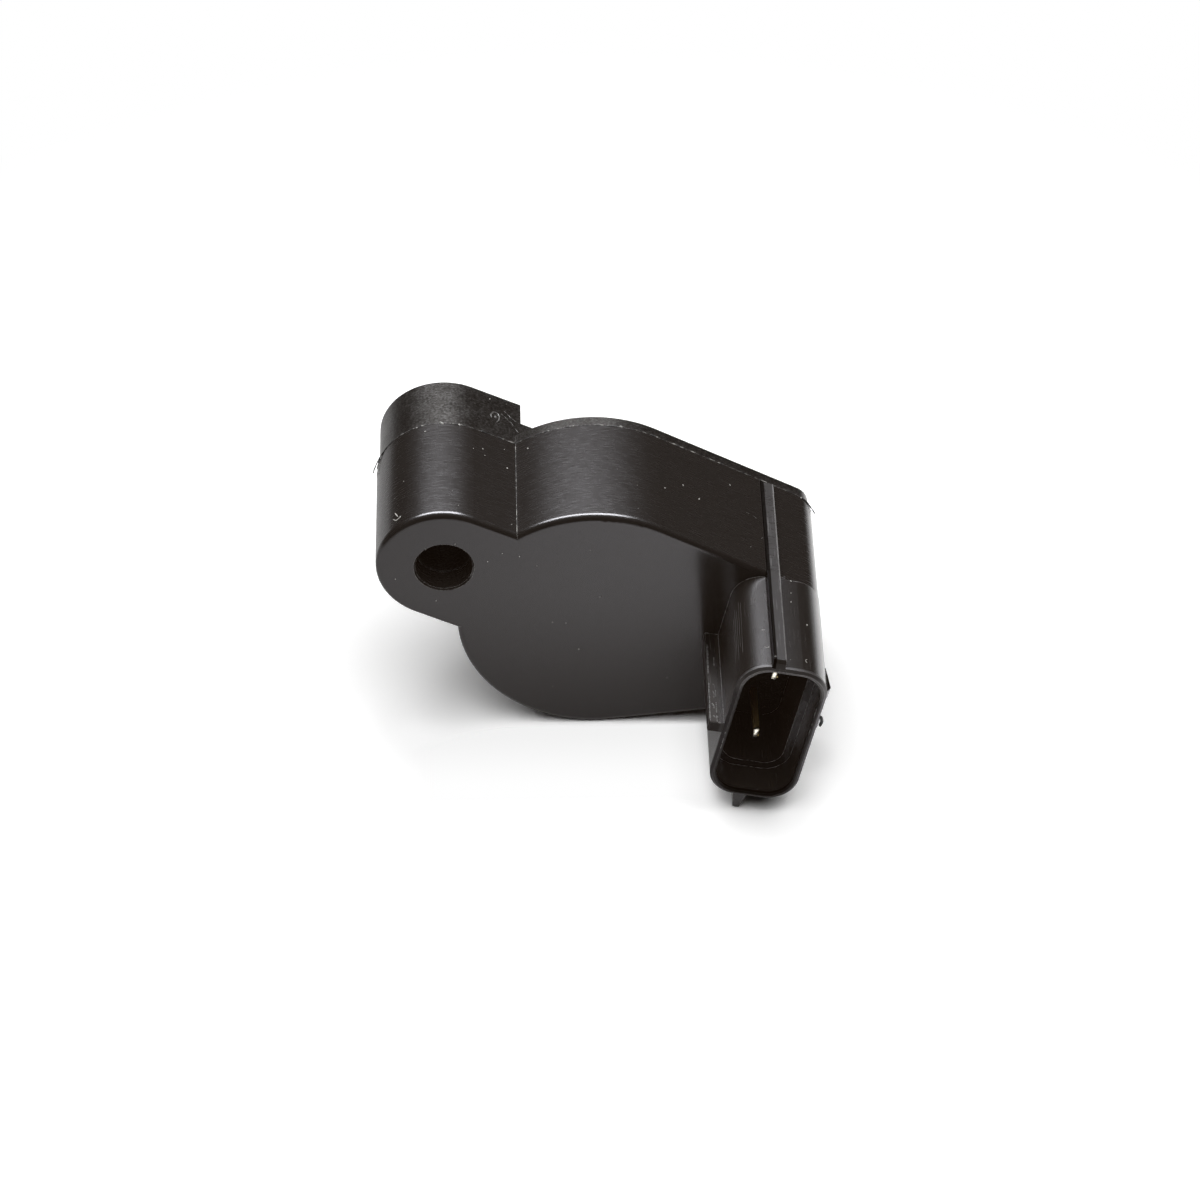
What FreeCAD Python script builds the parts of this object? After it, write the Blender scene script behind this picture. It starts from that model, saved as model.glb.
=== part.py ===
import FreeCAD, Part
import math
import os

os.makedirs("parts", exist_ok=True)

# Frame: X right, Y from the plug side to the gearbox side, Z up, millimetres.
# The origin is the middle of the bolt hole on the mounting face.

# Body plan, seen from the front
EAR_R = 7.75
MAIN_R = 15.65
MAIN_X = 17.0
MAIN_Z = -8.5
TOP_SLOPE = 29.0
BOTTOM_RISE = 6.4
END_CORNER_R = 2.8

# Depths: the shell behind its front face, then each level behind the one before it
SHELL_DEPTH = 16.35
PLATE_THICK = 1.8
WEB_RISE = 2.6
BOSS_RISE = 3.7

# Moulding walls and edges
WALL = 2.0
FRONT_WALL = 3.0
FRONT_EDGE_R = 0.75
PLATE_INSET = 0.3
BACK_CHAMFER = 0.3

# Bolt hole and its pillar
BOLT_R = 3.25
PILLAR_R = 5.6
BOLT_CHAMFER = 0.2
PILLAR_CHAMFER = 0.2

# Plug socket, in its own tilted axes u (right) and v (up)
SOCKET_X = 36.18
SOCKET_Z = -12.2
SOCKET_TILT = 12.4
SHROUD_U = 5.13
SHROUD_V = 9.85
SHROUD_R = 3.45
SHROUD_DRAFT = 0.04
SHROUD_LENGTH = 15.5
LIP_OUTER = 0.32
LIP_INNER = 0.2
MOUTH_U = 4.45
MOUTH_V = 9.15
MOUTH_R = 2.95
MOUTH_DEEP = 4.4
WELL_U = 3.55
WELL_V = 8.25
WELL_R = 2.1
WELL_FLOOR = 3.0
BODY_END_U = 5.12

# Ribs and catches on the shroud
TOP_RIB_U = -1.1
TOP_RIB_WIDTH = 1.5
TOP_RIB_V = 10.65
TOP_RIB_RAMP = 0.9
SIDE_RIB_U = -6.85
SIDE_RIB_V = -0.38
SIDE_RIB_WIDTH = 1.3
FOOT_RIB_U = -0.8
FOOT_RIB_ROOT = 1.9
FOOT_RIB_TIP = 0.7
RIB_SHORT = 0.8
SIDE_RIB_SHORT = 0.45
TOP_RIB_SHORT = 0.15
RIB_ROOT_SINK = 0.45
RIB_CHAMFER = 0.15
CATCH_V = (1.95, 6.5)
CATCH_WIDTH = 1.4
CATCH_RISE = 0.4
CATCH_NOSE = 0.7
CATCH_LENGTH = 3.9
CATCH_SETBACK = 0.6

# Terminals
PIN_SIZE = 0.64
PIN_PITCH = 9.14
PIN_SHORT = 4.8
PIN_POINT = 0.9
PIN_POINT_U = 0.5
PIN_POINT_V = 0.26
STRIP_WIDTH = 1.6
STRIP_DEPTH = 7.2

# Rear base
LIP_CLEAR = 0.1
LIP_WALL = 1.2
LIP_HEIGHT = 2.5
HUB_R = 9.5
HUB_BORE_R = 7.4
HUB_END_WALL = 2.0
NOSE_R = 5.6
NOSE_LENGTH = 5.0
NOSE_CHAMFER = 0.5
GROOVE_START = 1.05
GROOVE_WIDTH = 1.8
GROOVE_R = 4.4
RING_SECTION_R = 0.75
RING_SIDES = 8
BOSS_STEP_R = 14.75

# Bead of sealant between the two mouldings
BEAD_INSET = 0.6
BEAD_WIDTH = 0.8
BEAD_HEIGHT = 0.5

# Pick-up inside
POLE_R = 2.0
POLE_CLEAR = 0.05
BOBBIN_CLEAR = 0.15
BOBBIN_TUBE_WALL = 0.9
BOBBIN_FLANGE = 1.2
WINDING_SPACE = 0.4
WINDING_LENGTH = 8.4
MAGNET_R = 4.4
MAGNET_LENGTH = 4.0
STOP_PAD_R = 3.9
LEDGE_REACH = 9.8
LEDGE_MARGIN = 1.5
POST_SIZE = 0.64
POST_SETBACK = 1.3
POST_PROUD = 0.5

# Positions that follow from the sizes above
Y_MOUNT = 0.0
Y_WEB = Y_MOUNT - BOSS_RISE
Y_PLATE = Y_WEB - WEB_RISE
Y_SEAM = Y_PLATE - PLATE_THICK
Y_FRONT = Y_SEAM - SHELL_DEPTH
Y_CEILING = Y_FRONT + FRONT_WALL
Y_RIM = Y_FRONT - SHROUD_LENGTH
Y_LEDGE = Y_RIM + MOUTH_DEEP
Y_FLOOR = Y_FRONT - WELL_FLOOR
Y_STRIP = Y_FRONT + STRIP_DEPTH
FLOOR_Z = MAIN_Z - MAIN_R
TILT = math.radians(SOCKET_TILT)
ACROSS = FreeCAD.Vector(0, 1, 0)


def at(x, z, y=0.0):
    """Point from its plan position and its depth."""
    return FreeCAD.Vector(x, y, z)


def socket_point(u, v, y=0.0):
    """Point given in the socket's tilted axes."""
    x = SOCKET_X + u * math.cos(TILT) + v * math.sin(TILT)
    z = SOCKET_Z - u * math.sin(TILT) + v * math.cos(TILT)
    return at(x, z, y)


def socket_axes(point):
    """Socket coordinates (u, v) of a plan point."""
    dx = point.x - SOCKET_X
    dz = point.z - SOCKET_Z
    u = dx * math.cos(TILT) - dz * math.sin(TILT)
    v = dx * math.sin(TILT) + dz * math.cos(TILT)
    return u, v


def moved(point, y):
    """The same plan point at another depth."""
    return FreeCAD.Vector(point.x, y, point.z)


def polygon_prism(points, y0, y1):
    """Straight prism over a closed polygon of plan points."""
    ring = [moved(p, y0) for p in points]
    ring.append(ring[0])
    return Part.Face(Part.makePolygon(ring)).extrude(ACROSS * (y1 - y0))


def cylinder(x, z, radius, y0, y1):
    """Cylinder along Y between two depths."""
    return Part.makeCylinder(radius, y1 - y0, at(x, z, y0), ACROSS)


def crossing(p, d, q, e):
    """Where the plan lines p + s d and q + t e meet."""
    det = d.x * e.z - d.z * e.x
    s = ((q.x - p.x) * e.z - (q.z - p.z) * e.x) / det
    return p + d * s


def corner_arc(corner, before, after, radius):
    """Tangent points and middle of an arc that rounds a plan corner."""
    a = (before - corner).normalize()
    b = (after - corner).normalize()
    half = math.acos(max(-1.0, min(1.0, a.dot(b)))) / 2
    start = corner + a * (radius / math.tan(half))
    end = corner + b * (radius / math.tan(half))
    bisector = (a + b).normalize()
    middle = corner + bisector * (radius / math.sin(half) - radius)
    return start, middle, end


def hull_face(inset, y):
    """Round body with its taper to the socket end, as a flat face."""
    radius = MAIN_R - inset
    centre = at(MAIN_X, MAIN_Z)
    top = math.radians(90 - TOP_SLOPE)
    low = math.radians(-90 + BOTTOM_RISE)
    t_top = centre + at(math.cos(top), math.sin(top)) * radius
    t_low = centre + at(math.cos(low), math.sin(low)) * radius
    d_top = at(math.sin(top), -math.cos(top))
    d_low = at(-math.sin(low), math.cos(low))
    wall = socket_point(BODY_END_U - inset, 0)
    d_wall = at(math.sin(TILT), math.cos(TILT))
    k_top = crossing(t_top, d_top, wall, d_wall)
    k_low = crossing(t_low, d_low, wall, d_wall)
    bend = max(END_CORNER_R - inset, 0.5)
    a1, a2, a3 = corner_arc(k_low, t_low, k_top, bend)
    b1, b2, b3 = corner_arc(k_top, k_low, t_top, bend)
    left = centre + at(-radius, 0)
    edges = [
        Part.Arc(moved(t_top, y), moved(left, y), moved(t_low, y)).toShape(),
        Part.makeLine(moved(t_low, y), moved(a1, y)),
        Part.Arc(moved(a1, y), moved(a2, y), moved(a3, y)).toShape(),
        Part.makeLine(moved(a3, y), moved(b1, y)),
        Part.Arc(moved(b1, y), moved(b2, y), moved(b3, y)).toShape(),
        Part.makeLine(moved(b3, y), moved(t_top, y)),
    ]
    return Part.Face(Part.Wire(edges))


def ear_face(inset, y, reach=1.0):
    """Bolt ear with parallel flanks that run towards the main centre, as a flat face."""
    radius = EAR_R - inset
    centre = at(MAIN_X, MAIN_Z)
    along = at(MAIN_X, MAIN_Z).normalize()
    side = at(-along.z, along.x) * radius
    far = centre * reach
    start = at(0, 0)
    edges = [
        Part.Arc(moved(start + side, y), moved(start - along * radius, y), moved(start - side, y)).toShape(),
        Part.makeLine(moved(start - side, y), moved(far - side, y)),
        Part.makeLine(moved(far - side, y), moved(far + side, y)),
        Part.makeLine(moved(far + side, y), moved(start + side, y)),
    ]
    return Part.Face(Part.Wire(edges))


def body_prism(inset, y0, y1):
    """Whole body outline as a straight prism."""
    depth = ACROSS * (y1 - y0)
    hull = hull_face(inset, y0).extrude(depth)
    ear = ear_face(inset, y0).extrude(depth)
    return hull.fuse(ear).removeSplitter()


def edges_at(shape, y, skip=None):
    """Edges of a shape that lie in the plane at depth y."""
    found = []
    for edge in shape.Edges:
        box = edge.BoundBox
        if abs(box.YMin - y) < 1e-4 and abs(box.YMax - y) < 1e-4:
            middle = edge.valueAt((edge.FirstParameter + edge.LastParameter) / 2)
            if skip is None or not skip(middle):
                found.append(edge)
    return found


def near_main_centre(point):
    """True for a point close to the main axis, where the ear's flanks end inside the body."""
    return math.hypot(point.x - MAIN_X, point.z - MAIN_Z) < EAR_R / 2


def rounded_wire(half_u, half_v, radius, y):
    """Rounded rectangle in the socket's axes, as a wire."""
    flat_u = half_u - radius
    flat_v = half_v - radius
    slant = radius * math.sqrt(0.5)
    edges = []
    quarters = [(1, 1), (-1, 1), (-1, -1), (1, -1)]
    ends = []
    for su, sv in quarters:
        first = socket_point(su * half_u, sv * flat_v, y)
        middle = socket_point(su * (flat_u + slant), sv * (flat_v + slant), y)
        last = socket_point(su * flat_u, sv * half_v, y)
        if su * sv < 0:
            first, last = last, first
        edges.append(Part.Arc(first, middle, last).toShape())
        ends.append((first, last))
    for i in range(4):
        edges.append(Part.makeLine(ends[i][1], ends[(i + 1) % 4][0]))
    return Part.Wire(Part.__sortEdges__(edges))


def socket_box(u0, u1, v0, v1, y0, y1):
    """Box in the socket's axes."""
    corners = [socket_point(u0, v0), socket_point(u1, v0), socket_point(u1, v1), socket_point(u0, v1)]
    return polygon_prism(corners, y0, y1)


def off_mouth_edge(point):
    """True for a point that isn't on the mouth's own outline."""
    u, v = socket_axes(point)
    du = max(abs(u) - (MOUTH_U - MOUTH_R), 0)
    dv = max(abs(v) - (MOUTH_V - MOUTH_R), 0)
    return abs(math.hypot(du, dv) - MOUTH_R) > 1e-3


def shroud_root_wire():
    """Outline of the shroud where it leaves the front face."""
    return rounded_wire(SHROUD_U + SHROUD_DRAFT, SHROUD_V + SHROUD_DRAFT, SHROUD_R + SHROUD_DRAFT, Y_FRONT)


def shroud_block():
    """Drafted outside of the shroud: a cone at each corner and two tapered slabs between them."""
    flat_u = SHROUD_U - SHROUD_R
    flat_v = SHROUD_V - SHROUD_R
    cones = []
    for su, sv in ((1, 1), (-1, 1), (-1, -1), (1, -1)):
        foot = socket_point(su * flat_u, sv * flat_v, Y_FRONT)
        cones.append(Part.makeCone(SHROUD_R + SHROUD_DRAFT, SHROUD_R, SHROUD_LENGTH, foot, ACROSS * -1))
    root_u = SHROUD_U + SHROUD_DRAFT
    root_v = SHROUD_V + SHROUD_DRAFT
    wide = [
        socket_point(-root_u, -flat_v, Y_FRONT),
        socket_point(root_u, -flat_v, Y_FRONT),
        socket_point(SHROUD_U, -flat_v, Y_RIM),
        socket_point(-SHROUD_U, -flat_v, Y_RIM),
    ]
    tall = [
        socket_point(-flat_u, -root_v, Y_FRONT),
        socket_point(-flat_u, root_v, Y_FRONT),
        socket_point(-flat_u, SHROUD_V, Y_RIM),
        socket_point(-flat_u, -SHROUD_V, Y_RIM),
    ]
    up = socket_point(0, 2 * flat_v) - socket_point(0, 0)
    right = socket_point(2 * flat_u, 0) - socket_point(0, 0)
    slab_wide = Part.Face(Part.makePolygon(wide + wide[:1])).extrude(up)
    slab_tall = Part.Face(Part.makePolygon(tall + tall[:1])).extrude(right)
    return slab_wide.fuse([slab_tall] + cones).removeSplitter()


def shroud_solid():
    """Socket shroud with broken lip edges, mouth, ledge and well."""
    outer = shroud_block()
    outer = outer.makeChamfer(LIP_OUTER, edges_at(outer, Y_RIM))
    mouth = Part.Face(rounded_wire(MOUTH_U, MOUTH_V, MOUTH_R, Y_RIM)).extrude(ACROSS * MOUTH_DEEP)
    hollow = outer.cut(mouth)

    hollow = hollow.makeChamfer(LIP_INNER, edges_at(hollow, Y_RIM, off_mouth_edge))
    well = Part.Face(rounded_wire(WELL_U, WELL_V, WELL_R, Y_LEDGE)).extrude(ACROSS * (Y_FLOOR - Y_LEDGE))
    return hollow.cut(well)


def rib_solids():
    """Guide ribs and latch catches that stand on the shroud and the body."""
    y_end = Y_RIM + RIB_SHORT
    y_start = Y_SEAM - RIB_SHORT / 2
    half = TOP_RIB_WIDTH / 2
    root = SHROUD_V - RIB_ROOT_SINK
    y_top = Y_RIM + TOP_RIB_SHORT
    profile = [
        socket_point(TOP_RIB_U - half, root, y_start),
        socket_point(TOP_RIB_U - half, TOP_RIB_V, y_start),
        socket_point(TOP_RIB_U - half, TOP_RIB_V, y_top + TOP_RIB_RAMP),
        socket_point(TOP_RIB_U - half, SHROUD_V - LIP_OUTER / 2, y_top),
        socket_point(TOP_RIB_U - half, root, y_top + RIB_ROOT_SINK),
    ]
    width = socket_point(TOP_RIB_WIDTH, 0) - socket_point(0, 0)
    top = Part.Face(Part.makePolygon(profile + profile[:1])).extrude(width)
    top = top.makeChamfer(RIB_CHAMFER, [e for e in top.Edges if rib_tip_edge(e, "v", TOP_RIB_V)])

    half = SIDE_RIB_WIDTH / 2
    root = -(SHROUD_U - RIB_ROOT_SINK)
    y_side = Y_RIM + SIDE_RIB_SHORT
    side = socket_box(SIDE_RIB_U, root, SIDE_RIB_V - half, SIDE_RIB_V + half, y_side, Y_FRONT)
    side = side.makeChamfer(RIB_CHAMFER, [e for e in side.Edges if rib_tip_edge(e, "u", SIDE_RIB_U)])

    tip_v = (FLOOR_Z - SOCKET_Z + FOOT_RIB_U * math.sin(TILT)) / math.cos(TILT)
    root_v = -(SHROUD_V - RIB_ROOT_SINK)
    wide = FOOT_RIB_ROOT / 2
    slim = FOOT_RIB_TIP / 2
    foot = polygon_prism([
        socket_point(FOOT_RIB_U - wide, root_v),
        socket_point(FOOT_RIB_U + wide, root_v),
        socket_point(FOOT_RIB_U + slim, tip_v),
        socket_point(FOOT_RIB_U - slim, tip_v),
    ], y_end, y_start)
    foot = foot.makeChamfer(RIB_CHAMFER, [e for e in foot.Edges if rib_tip_edge(e, "v", tip_v)])

    solids = [top, side, foot]
    y0 = Y_RIM + CATCH_SETBACK
    for v in CATCH_V:
        sunk = SHROUD_U - RIB_ROOT_SINK
        edge = v - CATCH_WIDTH / 2
        corners = [
            socket_point(sunk, edge, y0),
            socket_point(SHROUD_U, edge, y0),
            socket_point(SHROUD_U + CATCH_RISE, edge, y0 + CATCH_NOSE),
            socket_point(SHROUD_U, edge, y0 + CATCH_LENGTH),
            socket_point(sunk, edge, y0 + CATCH_LENGTH),
        ]
        side_face = Part.Face(Part.makePolygon(corners + corners[:1]))
        rise = socket_point(0, CATCH_WIDTH) - socket_point(0, 0)
        solids.append(side_face.extrude(rise))
    return solids


def rib_tip_edge(edge, axis, level):
    """True for the two long outer edges of a rib, and for its end edges at the tip."""
    points = [socket_axes(v.Point) for v in edge.Vertexes]
    index = 0 if axis == "u" else 1
    return all(abs(p[index] - level) < 1e-4 for p in points)


def post_points():
    """Plan positions of the upper and lower coil posts."""
    main_u = socket_axes(at(MAIN_X, MAIN_Z))[0]
    u = main_u + LEDGE_REACH - POST_SETBACK
    return [socket_point(u, PIN_PITCH / 2), socket_point(u, -PIN_PITCH / 2)]


Y_HUB_END = Y_MOUNT - HUB_END_WALL
Y_FLANGE_REAR = Y_HUB_END - BOBBIN_FLANGE
Y_FLANGE_FRONT = Y_FLANGE_REAR - WINDING_LENGTH
Y_MAGNET_REAR = Y_FLANGE_FRONT - BOBBIN_FLANGE
Y_MAGNET_FRONT = Y_MAGNET_REAR - MAGNET_LENGTH


def coil_posts():
    """The two square posts that carry the winding's ends."""
    posts = []
    half = POST_SIZE / 2
    y_proud = Y_STRIP - PIN_SIZE - POST_PROUD
    for point in post_points():
        u, v = socket_axes(point)
        posts.append(socket_box(u - half, u + half, v - half, v + half, y_proud, Y_FLANGE_FRONT))
    return posts


def terminals(posts):
    """Bent lead frames from the socket pins to the coil posts."""
    made = []
    half = PIN_SIZE / 2
    slim_u = PIN_POINT_U / 2
    slim_v = PIN_POINT_V / 2
    quarters = ((1, 1), (-1, 1), (-1, -1), (1, -1))
    y_tip = Y_RIM + PIN_SHORT
    for sign, point, post in zip((1, -1), post_points(), posts):
        v = sign * PIN_PITCH / 2
        shank = socket_box(-half, half, v - half, v + half, y_tip + PIN_POINT, Y_STRIP)
        wide = [socket_point(a * half, v + b * half, y_tip + PIN_POINT) for a, b in quarters]
        thin = [socket_point(a * slim_u, v + b * slim_v, y_tip) for a, b in quarters]
        wires = [Part.makePolygon(ring + ring[:1]) for ring in (thin, wide)]
        point_end = Part.makeLoft(wires, True, True)
        u_post = socket_axes(point)[0]
        reach = u_post - STRIP_WIDTH / 2
        strip = socket_box(reach, half, v - STRIP_WIDTH / 2, v + STRIP_WIDTH / 2, Y_STRIP - PIN_SIZE, Y_STRIP)
        made.append(shank.fuse([point_end, strip]).removeSplitter().cut(post))
    return made


def front_housing(leads):
    """Front moulding: shell, ear, tilted socket, ribs and inner stop pad."""
    depth = ACROSS * (Y_SEAM - Y_FRONT)
    hull = hull_face(0, Y_FRONT).extrude(depth)
    hull = hull.makeFillet(FRONT_EDGE_R, edges_at(hull, Y_FRONT))
    ear = ear_face(0, Y_FRONT).extrude(depth)
    ear = ear.makeFillet(FRONT_EDGE_R, edges_at(ear, Y_FRONT, near_main_centre))
    shell = hull.fuse(ear).removeSplitter()

    root = Part.Face(shroud_root_wire()).extrude(ACROSS * FRONT_EDGE_R)
    root = root.common(hull_face(0, Y_FRONT).extrude(ACROSS * FRONT_EDGE_R))

    cavity = body_prism(WALL, Y_CEILING, Y_SEAM)
    pad = cylinder(MAIN_X, MAIN_Z, STOP_PAD_R, Y_CEILING, Y_MAGNET_FRONT)
    hole = cylinder(0, 0, BOLT_R, Y_FRONT, Y_CEILING)

    shell = shell.fuse([root, shroud_solid()] + rib_solids()).removeSplitter()
    shell = shell.cut(cavity).fuse(pad).cut(hole)
    rim = [e for e in edges_at(shell, Y_FRONT) if abs(e.Length - 2 * math.pi * BOLT_R) < 1e-3]
    shell = shell.makeChamfer(BOLT_CHAMFER, rim)
    return shell.cut(leads).removeSplitter()


def seam_bead():
    """Bead of sealant that runs round the joint between the mouldings."""
    outer = body_prism(BEAD_INSET, Y_SEAM, Y_SEAM + BEAD_HEIGHT)
    inner = body_prism(BEAD_INSET + BEAD_WIDTH, Y_SEAM, Y_SEAM + BEAD_HEIGHT)
    return outer.cut(inner)


def rear_base(bead):
    """Rear moulding: plate, locating lip, bolt pillar, boss, web, hub and nose."""
    plate = body_prism(PLATE_INSET, Y_SEAM, Y_PLATE)
    lip_inset = WALL + LIP_CLEAR
    lip = body_prism(lip_inset, Y_SEAM - LIP_HEIGHT, Y_SEAM)
    lip = lip.cut(body_prism(lip_inset + LIP_WALL, Y_SEAM - LIP_HEIGHT, Y_SEAM))
    pillar = cylinder(0, 0, PILLAR_R, Y_CEILING, Y_PLATE)
    lead_in = Part.makeCone(BOLT_R + PILLAR_CHAMFER, BOLT_R, PILLAR_CHAMFER, at(0, 0, Y_CEILING), ACROSS)
    arm = ear_face(PLATE_INSET, Y_PLATE).extrude(ACROSS * (Y_MOUNT - Y_PLATE))
    web = ear_face(PLATE_INSET, Y_PLATE).extrude(ACROSS * (Y_WEB - Y_PLATE))
    arm = arm.makeChamfer(BACK_CHAMFER, edges_at(arm, Y_MOUNT, near_main_centre))
    boss = arm.cut(cylinder(MAIN_X, MAIN_Z, BOSS_STEP_R, Y_PLATE, Y_MOUNT))
    hub = cylinder(MAIN_X, MAIN_Z, HUB_R, Y_PLATE, Y_MOUNT)
    nose = cylinder(MAIN_X, MAIN_Z, NOSE_R, Y_MOUNT, Y_MOUNT + NOSE_LENGTH)
    nose = nose.makeChamfer(NOSE_CHAMFER, edges_at(nose, Y_MOUNT + NOSE_LENGTH))
    base = plate.fuse([lip, pillar, web, boss, hub, nose]).removeSplitter()
    groove = cylinder(MAIN_X, MAIN_Z, NOSE_R + 1, Y_MOUNT + GROOVE_START, Y_MOUNT + GROOVE_START + GROOVE_WIDTH)
    groove = groove.cut(cylinder(MAIN_X, MAIN_Z, GROOVE_R, Y_MOUNT, Y_MOUNT + NOSE_LENGTH))
    bore = cylinder(0, 0, BOLT_R, Y_CEILING, Y_MOUNT)
    well = cylinder(MAIN_X, MAIN_Z, HUB_BORE_R, Y_SEAM, Y_HUB_END)
    pole = cylinder(MAIN_X, MAIN_Z, POLE_R, Y_HUB_END, Y_MOUNT + NOSE_LENGTH)
    return base.cut([groove, bore, lead_in, well, pole, bead]).removeSplitter()


def nose_ring():
    """Sealing ring seated in the nose groove."""
    middle = Y_MOUNT + GROOVE_START + GROOVE_WIDTH / 2
    section = []
    for i in range(RING_SIDES + 1):
        angle = math.pi * (2 * i + 1) / RING_SIDES
        reach = RING_SECTION_R / math.cos(math.pi / RING_SIDES)
        radius = GROOVE_R + RING_SECTION_R + reach * math.cos(angle)
        section.append(at(MAIN_X + radius, MAIN_Z, middle + reach * math.sin(angle)))
    section[-1] = section[0]
    return Part.Face(Part.makePolygon(section)).revolve(at(MAIN_X, MAIN_Z), ACROSS, 360)


def bobbin(posts):
    """Coil former with a nest for the magnet in its front flange and a ledge for the posts."""
    flange_r = HUB_BORE_R - BOBBIN_CLEAR
    tube_r = POLE_R + POLE_CLEAR + BOBBIN_TUBE_WALL
    tube = cylinder(MAIN_X, MAIN_Z, tube_r, Y_MAGNET_REAR, Y_HUB_END)
    rear = cylinder(MAIN_X, MAIN_Z, flange_r, Y_FLANGE_REAR, Y_HUB_END)
    front = cylinder(MAIN_X, MAIN_Z, flange_r, Y_MAGNET_FRONT, Y_FLANGE_FRONT)
    main_u = socket_axes(at(MAIN_X, MAIN_Z))[0]
    half = PIN_PITCH / 2 + LEDGE_MARGIN
    ledge = socket_box(main_u, main_u + LEDGE_REACH, -half, half, Y_MAGNET_REAR, Y_FLANGE_FRONT)
    former = tube.fuse([rear, front, ledge]).removeSplitter()
    pole = cylinder(MAIN_X, MAIN_Z, POLE_R + POLE_CLEAR, Y_MAGNET_REAR, Y_HUB_END)
    nest = cylinder(MAIN_X, MAIN_Z, MAGNET_R + POLE_CLEAR, Y_MAGNET_FRONT, Y_MAGNET_REAR)
    return former.cut([pole, nest] + posts)


def winding():
    """Wound copper wire as one body of revolution."""
    outer = cylinder(MAIN_X, MAIN_Z, HUB_BORE_R - BOBBIN_CLEAR - WINDING_SPACE, Y_FLANGE_FRONT, Y_FLANGE_REAR)
    tube_r = POLE_R + POLE_CLEAR + BOBBIN_TUBE_WALL
    return outer.cut(cylinder(MAIN_X, MAIN_Z, tube_r, Y_FLANGE_FRONT, Y_FLANGE_REAR))


def save(name, shape):
    """Write one solid, after a check that it is a single sound one."""
    if len(shape.Solids) != 1 or not shape.isValid():
        raise ValueError("%s has %d solids, valid %s" % (name, len(shape.Solids), shape.isValid()))
    shape.Solids[0].exportStep("parts/%s.step" % name)


posts = coil_posts()
leads = terminals(posts)
bead = seam_bead()
save("front_housing", front_housing(leads))
save("rear_base", rear_base(bead))
save("seam_bead", bead)
save("nose_ring", nose_ring())
save("upper_terminal", leads[0])
save("lower_terminal", leads[1])
save("upper_coil_post", posts[0])
save("lower_coil_post", posts[1])
save("coil_bobbin", bobbin(posts))
save("coil_winding", winding())
save("pole_piece", cylinder(MAIN_X, MAIN_Z, POLE_R, Y_MAGNET_REAR, Y_MOUNT + NOSE_LENGTH))
save("bias_magnet", cylinder(MAIN_X, MAIN_Z, MAGNET_R, Y_MAGNET_FRONT, Y_MAGNET_REAR))
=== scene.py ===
"""Looks of a vehicle speed sensor: finishes, moulding marks, dust, floor, light and camera."""
import logging
import math
import random
from dataclasses import dataclass, field
from enum import Enum

import bpy
from mathutils import Matrix, Vector
from mathutils.bvhtree import BVHTree


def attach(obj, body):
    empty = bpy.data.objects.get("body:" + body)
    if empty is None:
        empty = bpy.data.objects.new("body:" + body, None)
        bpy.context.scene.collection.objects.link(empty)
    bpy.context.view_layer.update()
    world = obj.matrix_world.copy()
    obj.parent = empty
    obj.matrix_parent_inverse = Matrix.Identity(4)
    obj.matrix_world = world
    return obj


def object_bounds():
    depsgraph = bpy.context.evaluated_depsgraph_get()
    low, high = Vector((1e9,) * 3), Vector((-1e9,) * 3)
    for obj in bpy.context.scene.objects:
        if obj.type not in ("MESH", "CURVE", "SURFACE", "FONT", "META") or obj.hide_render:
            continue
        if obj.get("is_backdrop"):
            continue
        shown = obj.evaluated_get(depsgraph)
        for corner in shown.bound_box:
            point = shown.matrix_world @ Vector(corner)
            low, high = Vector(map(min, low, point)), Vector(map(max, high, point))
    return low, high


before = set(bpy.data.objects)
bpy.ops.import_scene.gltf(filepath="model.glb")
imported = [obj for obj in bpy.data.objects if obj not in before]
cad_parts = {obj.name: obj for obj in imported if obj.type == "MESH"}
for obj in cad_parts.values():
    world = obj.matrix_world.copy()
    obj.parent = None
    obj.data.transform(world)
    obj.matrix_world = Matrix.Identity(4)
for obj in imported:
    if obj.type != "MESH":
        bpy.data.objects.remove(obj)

LOG = logging.getLogger("speed_sensor")
MM = 0.001
# Colour of the faint painted glow (emission) that lifts the blacks of the plastics and the brass.
PAINTED_GLOW_TINT = (1.0, 0.62, 0.40)
SPECK_TONE = (0.42, 0.41, 0.39)
WHITE = (1.0, 1.0, 1.0)
SOCKET_MIDDLE = (36.18, -32.0, -12.2)
SOCKET_TILT = 12.4
Colour = tuple[float, float, float]
Point = tuple[float, float, float]
Range = tuple[float, float]
Ramp = tuple[float, float, float, float]
Node = bpy.types.Node
Socket = bpy.types.NodeSocket
Material = bpy.types.Material


class Slot(Enum):
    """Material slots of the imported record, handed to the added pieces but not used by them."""

    HOUSING = "black_housing"
    BASE = "textured_base"
    SEALANT = "sealant"
    BRASS = "terminal_brass"


class Effect(Enum):
    """Shared surface effects, each one shader node group."""

    GRAIN = "surface_grain"
    WEAR = "edge_wear"
    DUST = "dust_specks"
    STREAK = "draw_streaks"
    ZONES = "socket_zones"


def millimetres(point: Point) -> Vector:
    """A point given in millimetres, as a vector in metres."""
    return Vector(point) * MM


def chain(points: tuple[Point, ...], steps: int) -> list[Vector]:
    """Straight runs through points.

    Args:
        points: corners in millimetres.
        steps: number of steps on each run.

    Returns:
        Places along the runs, in metres.
    """
    corners = [millimetres(point) for point in points]
    line = [a.lerp(b, i / steps) for a, b in zip(corners, corners[1:]) for i in range(steps)]
    return line + [corners[-1]]


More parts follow.
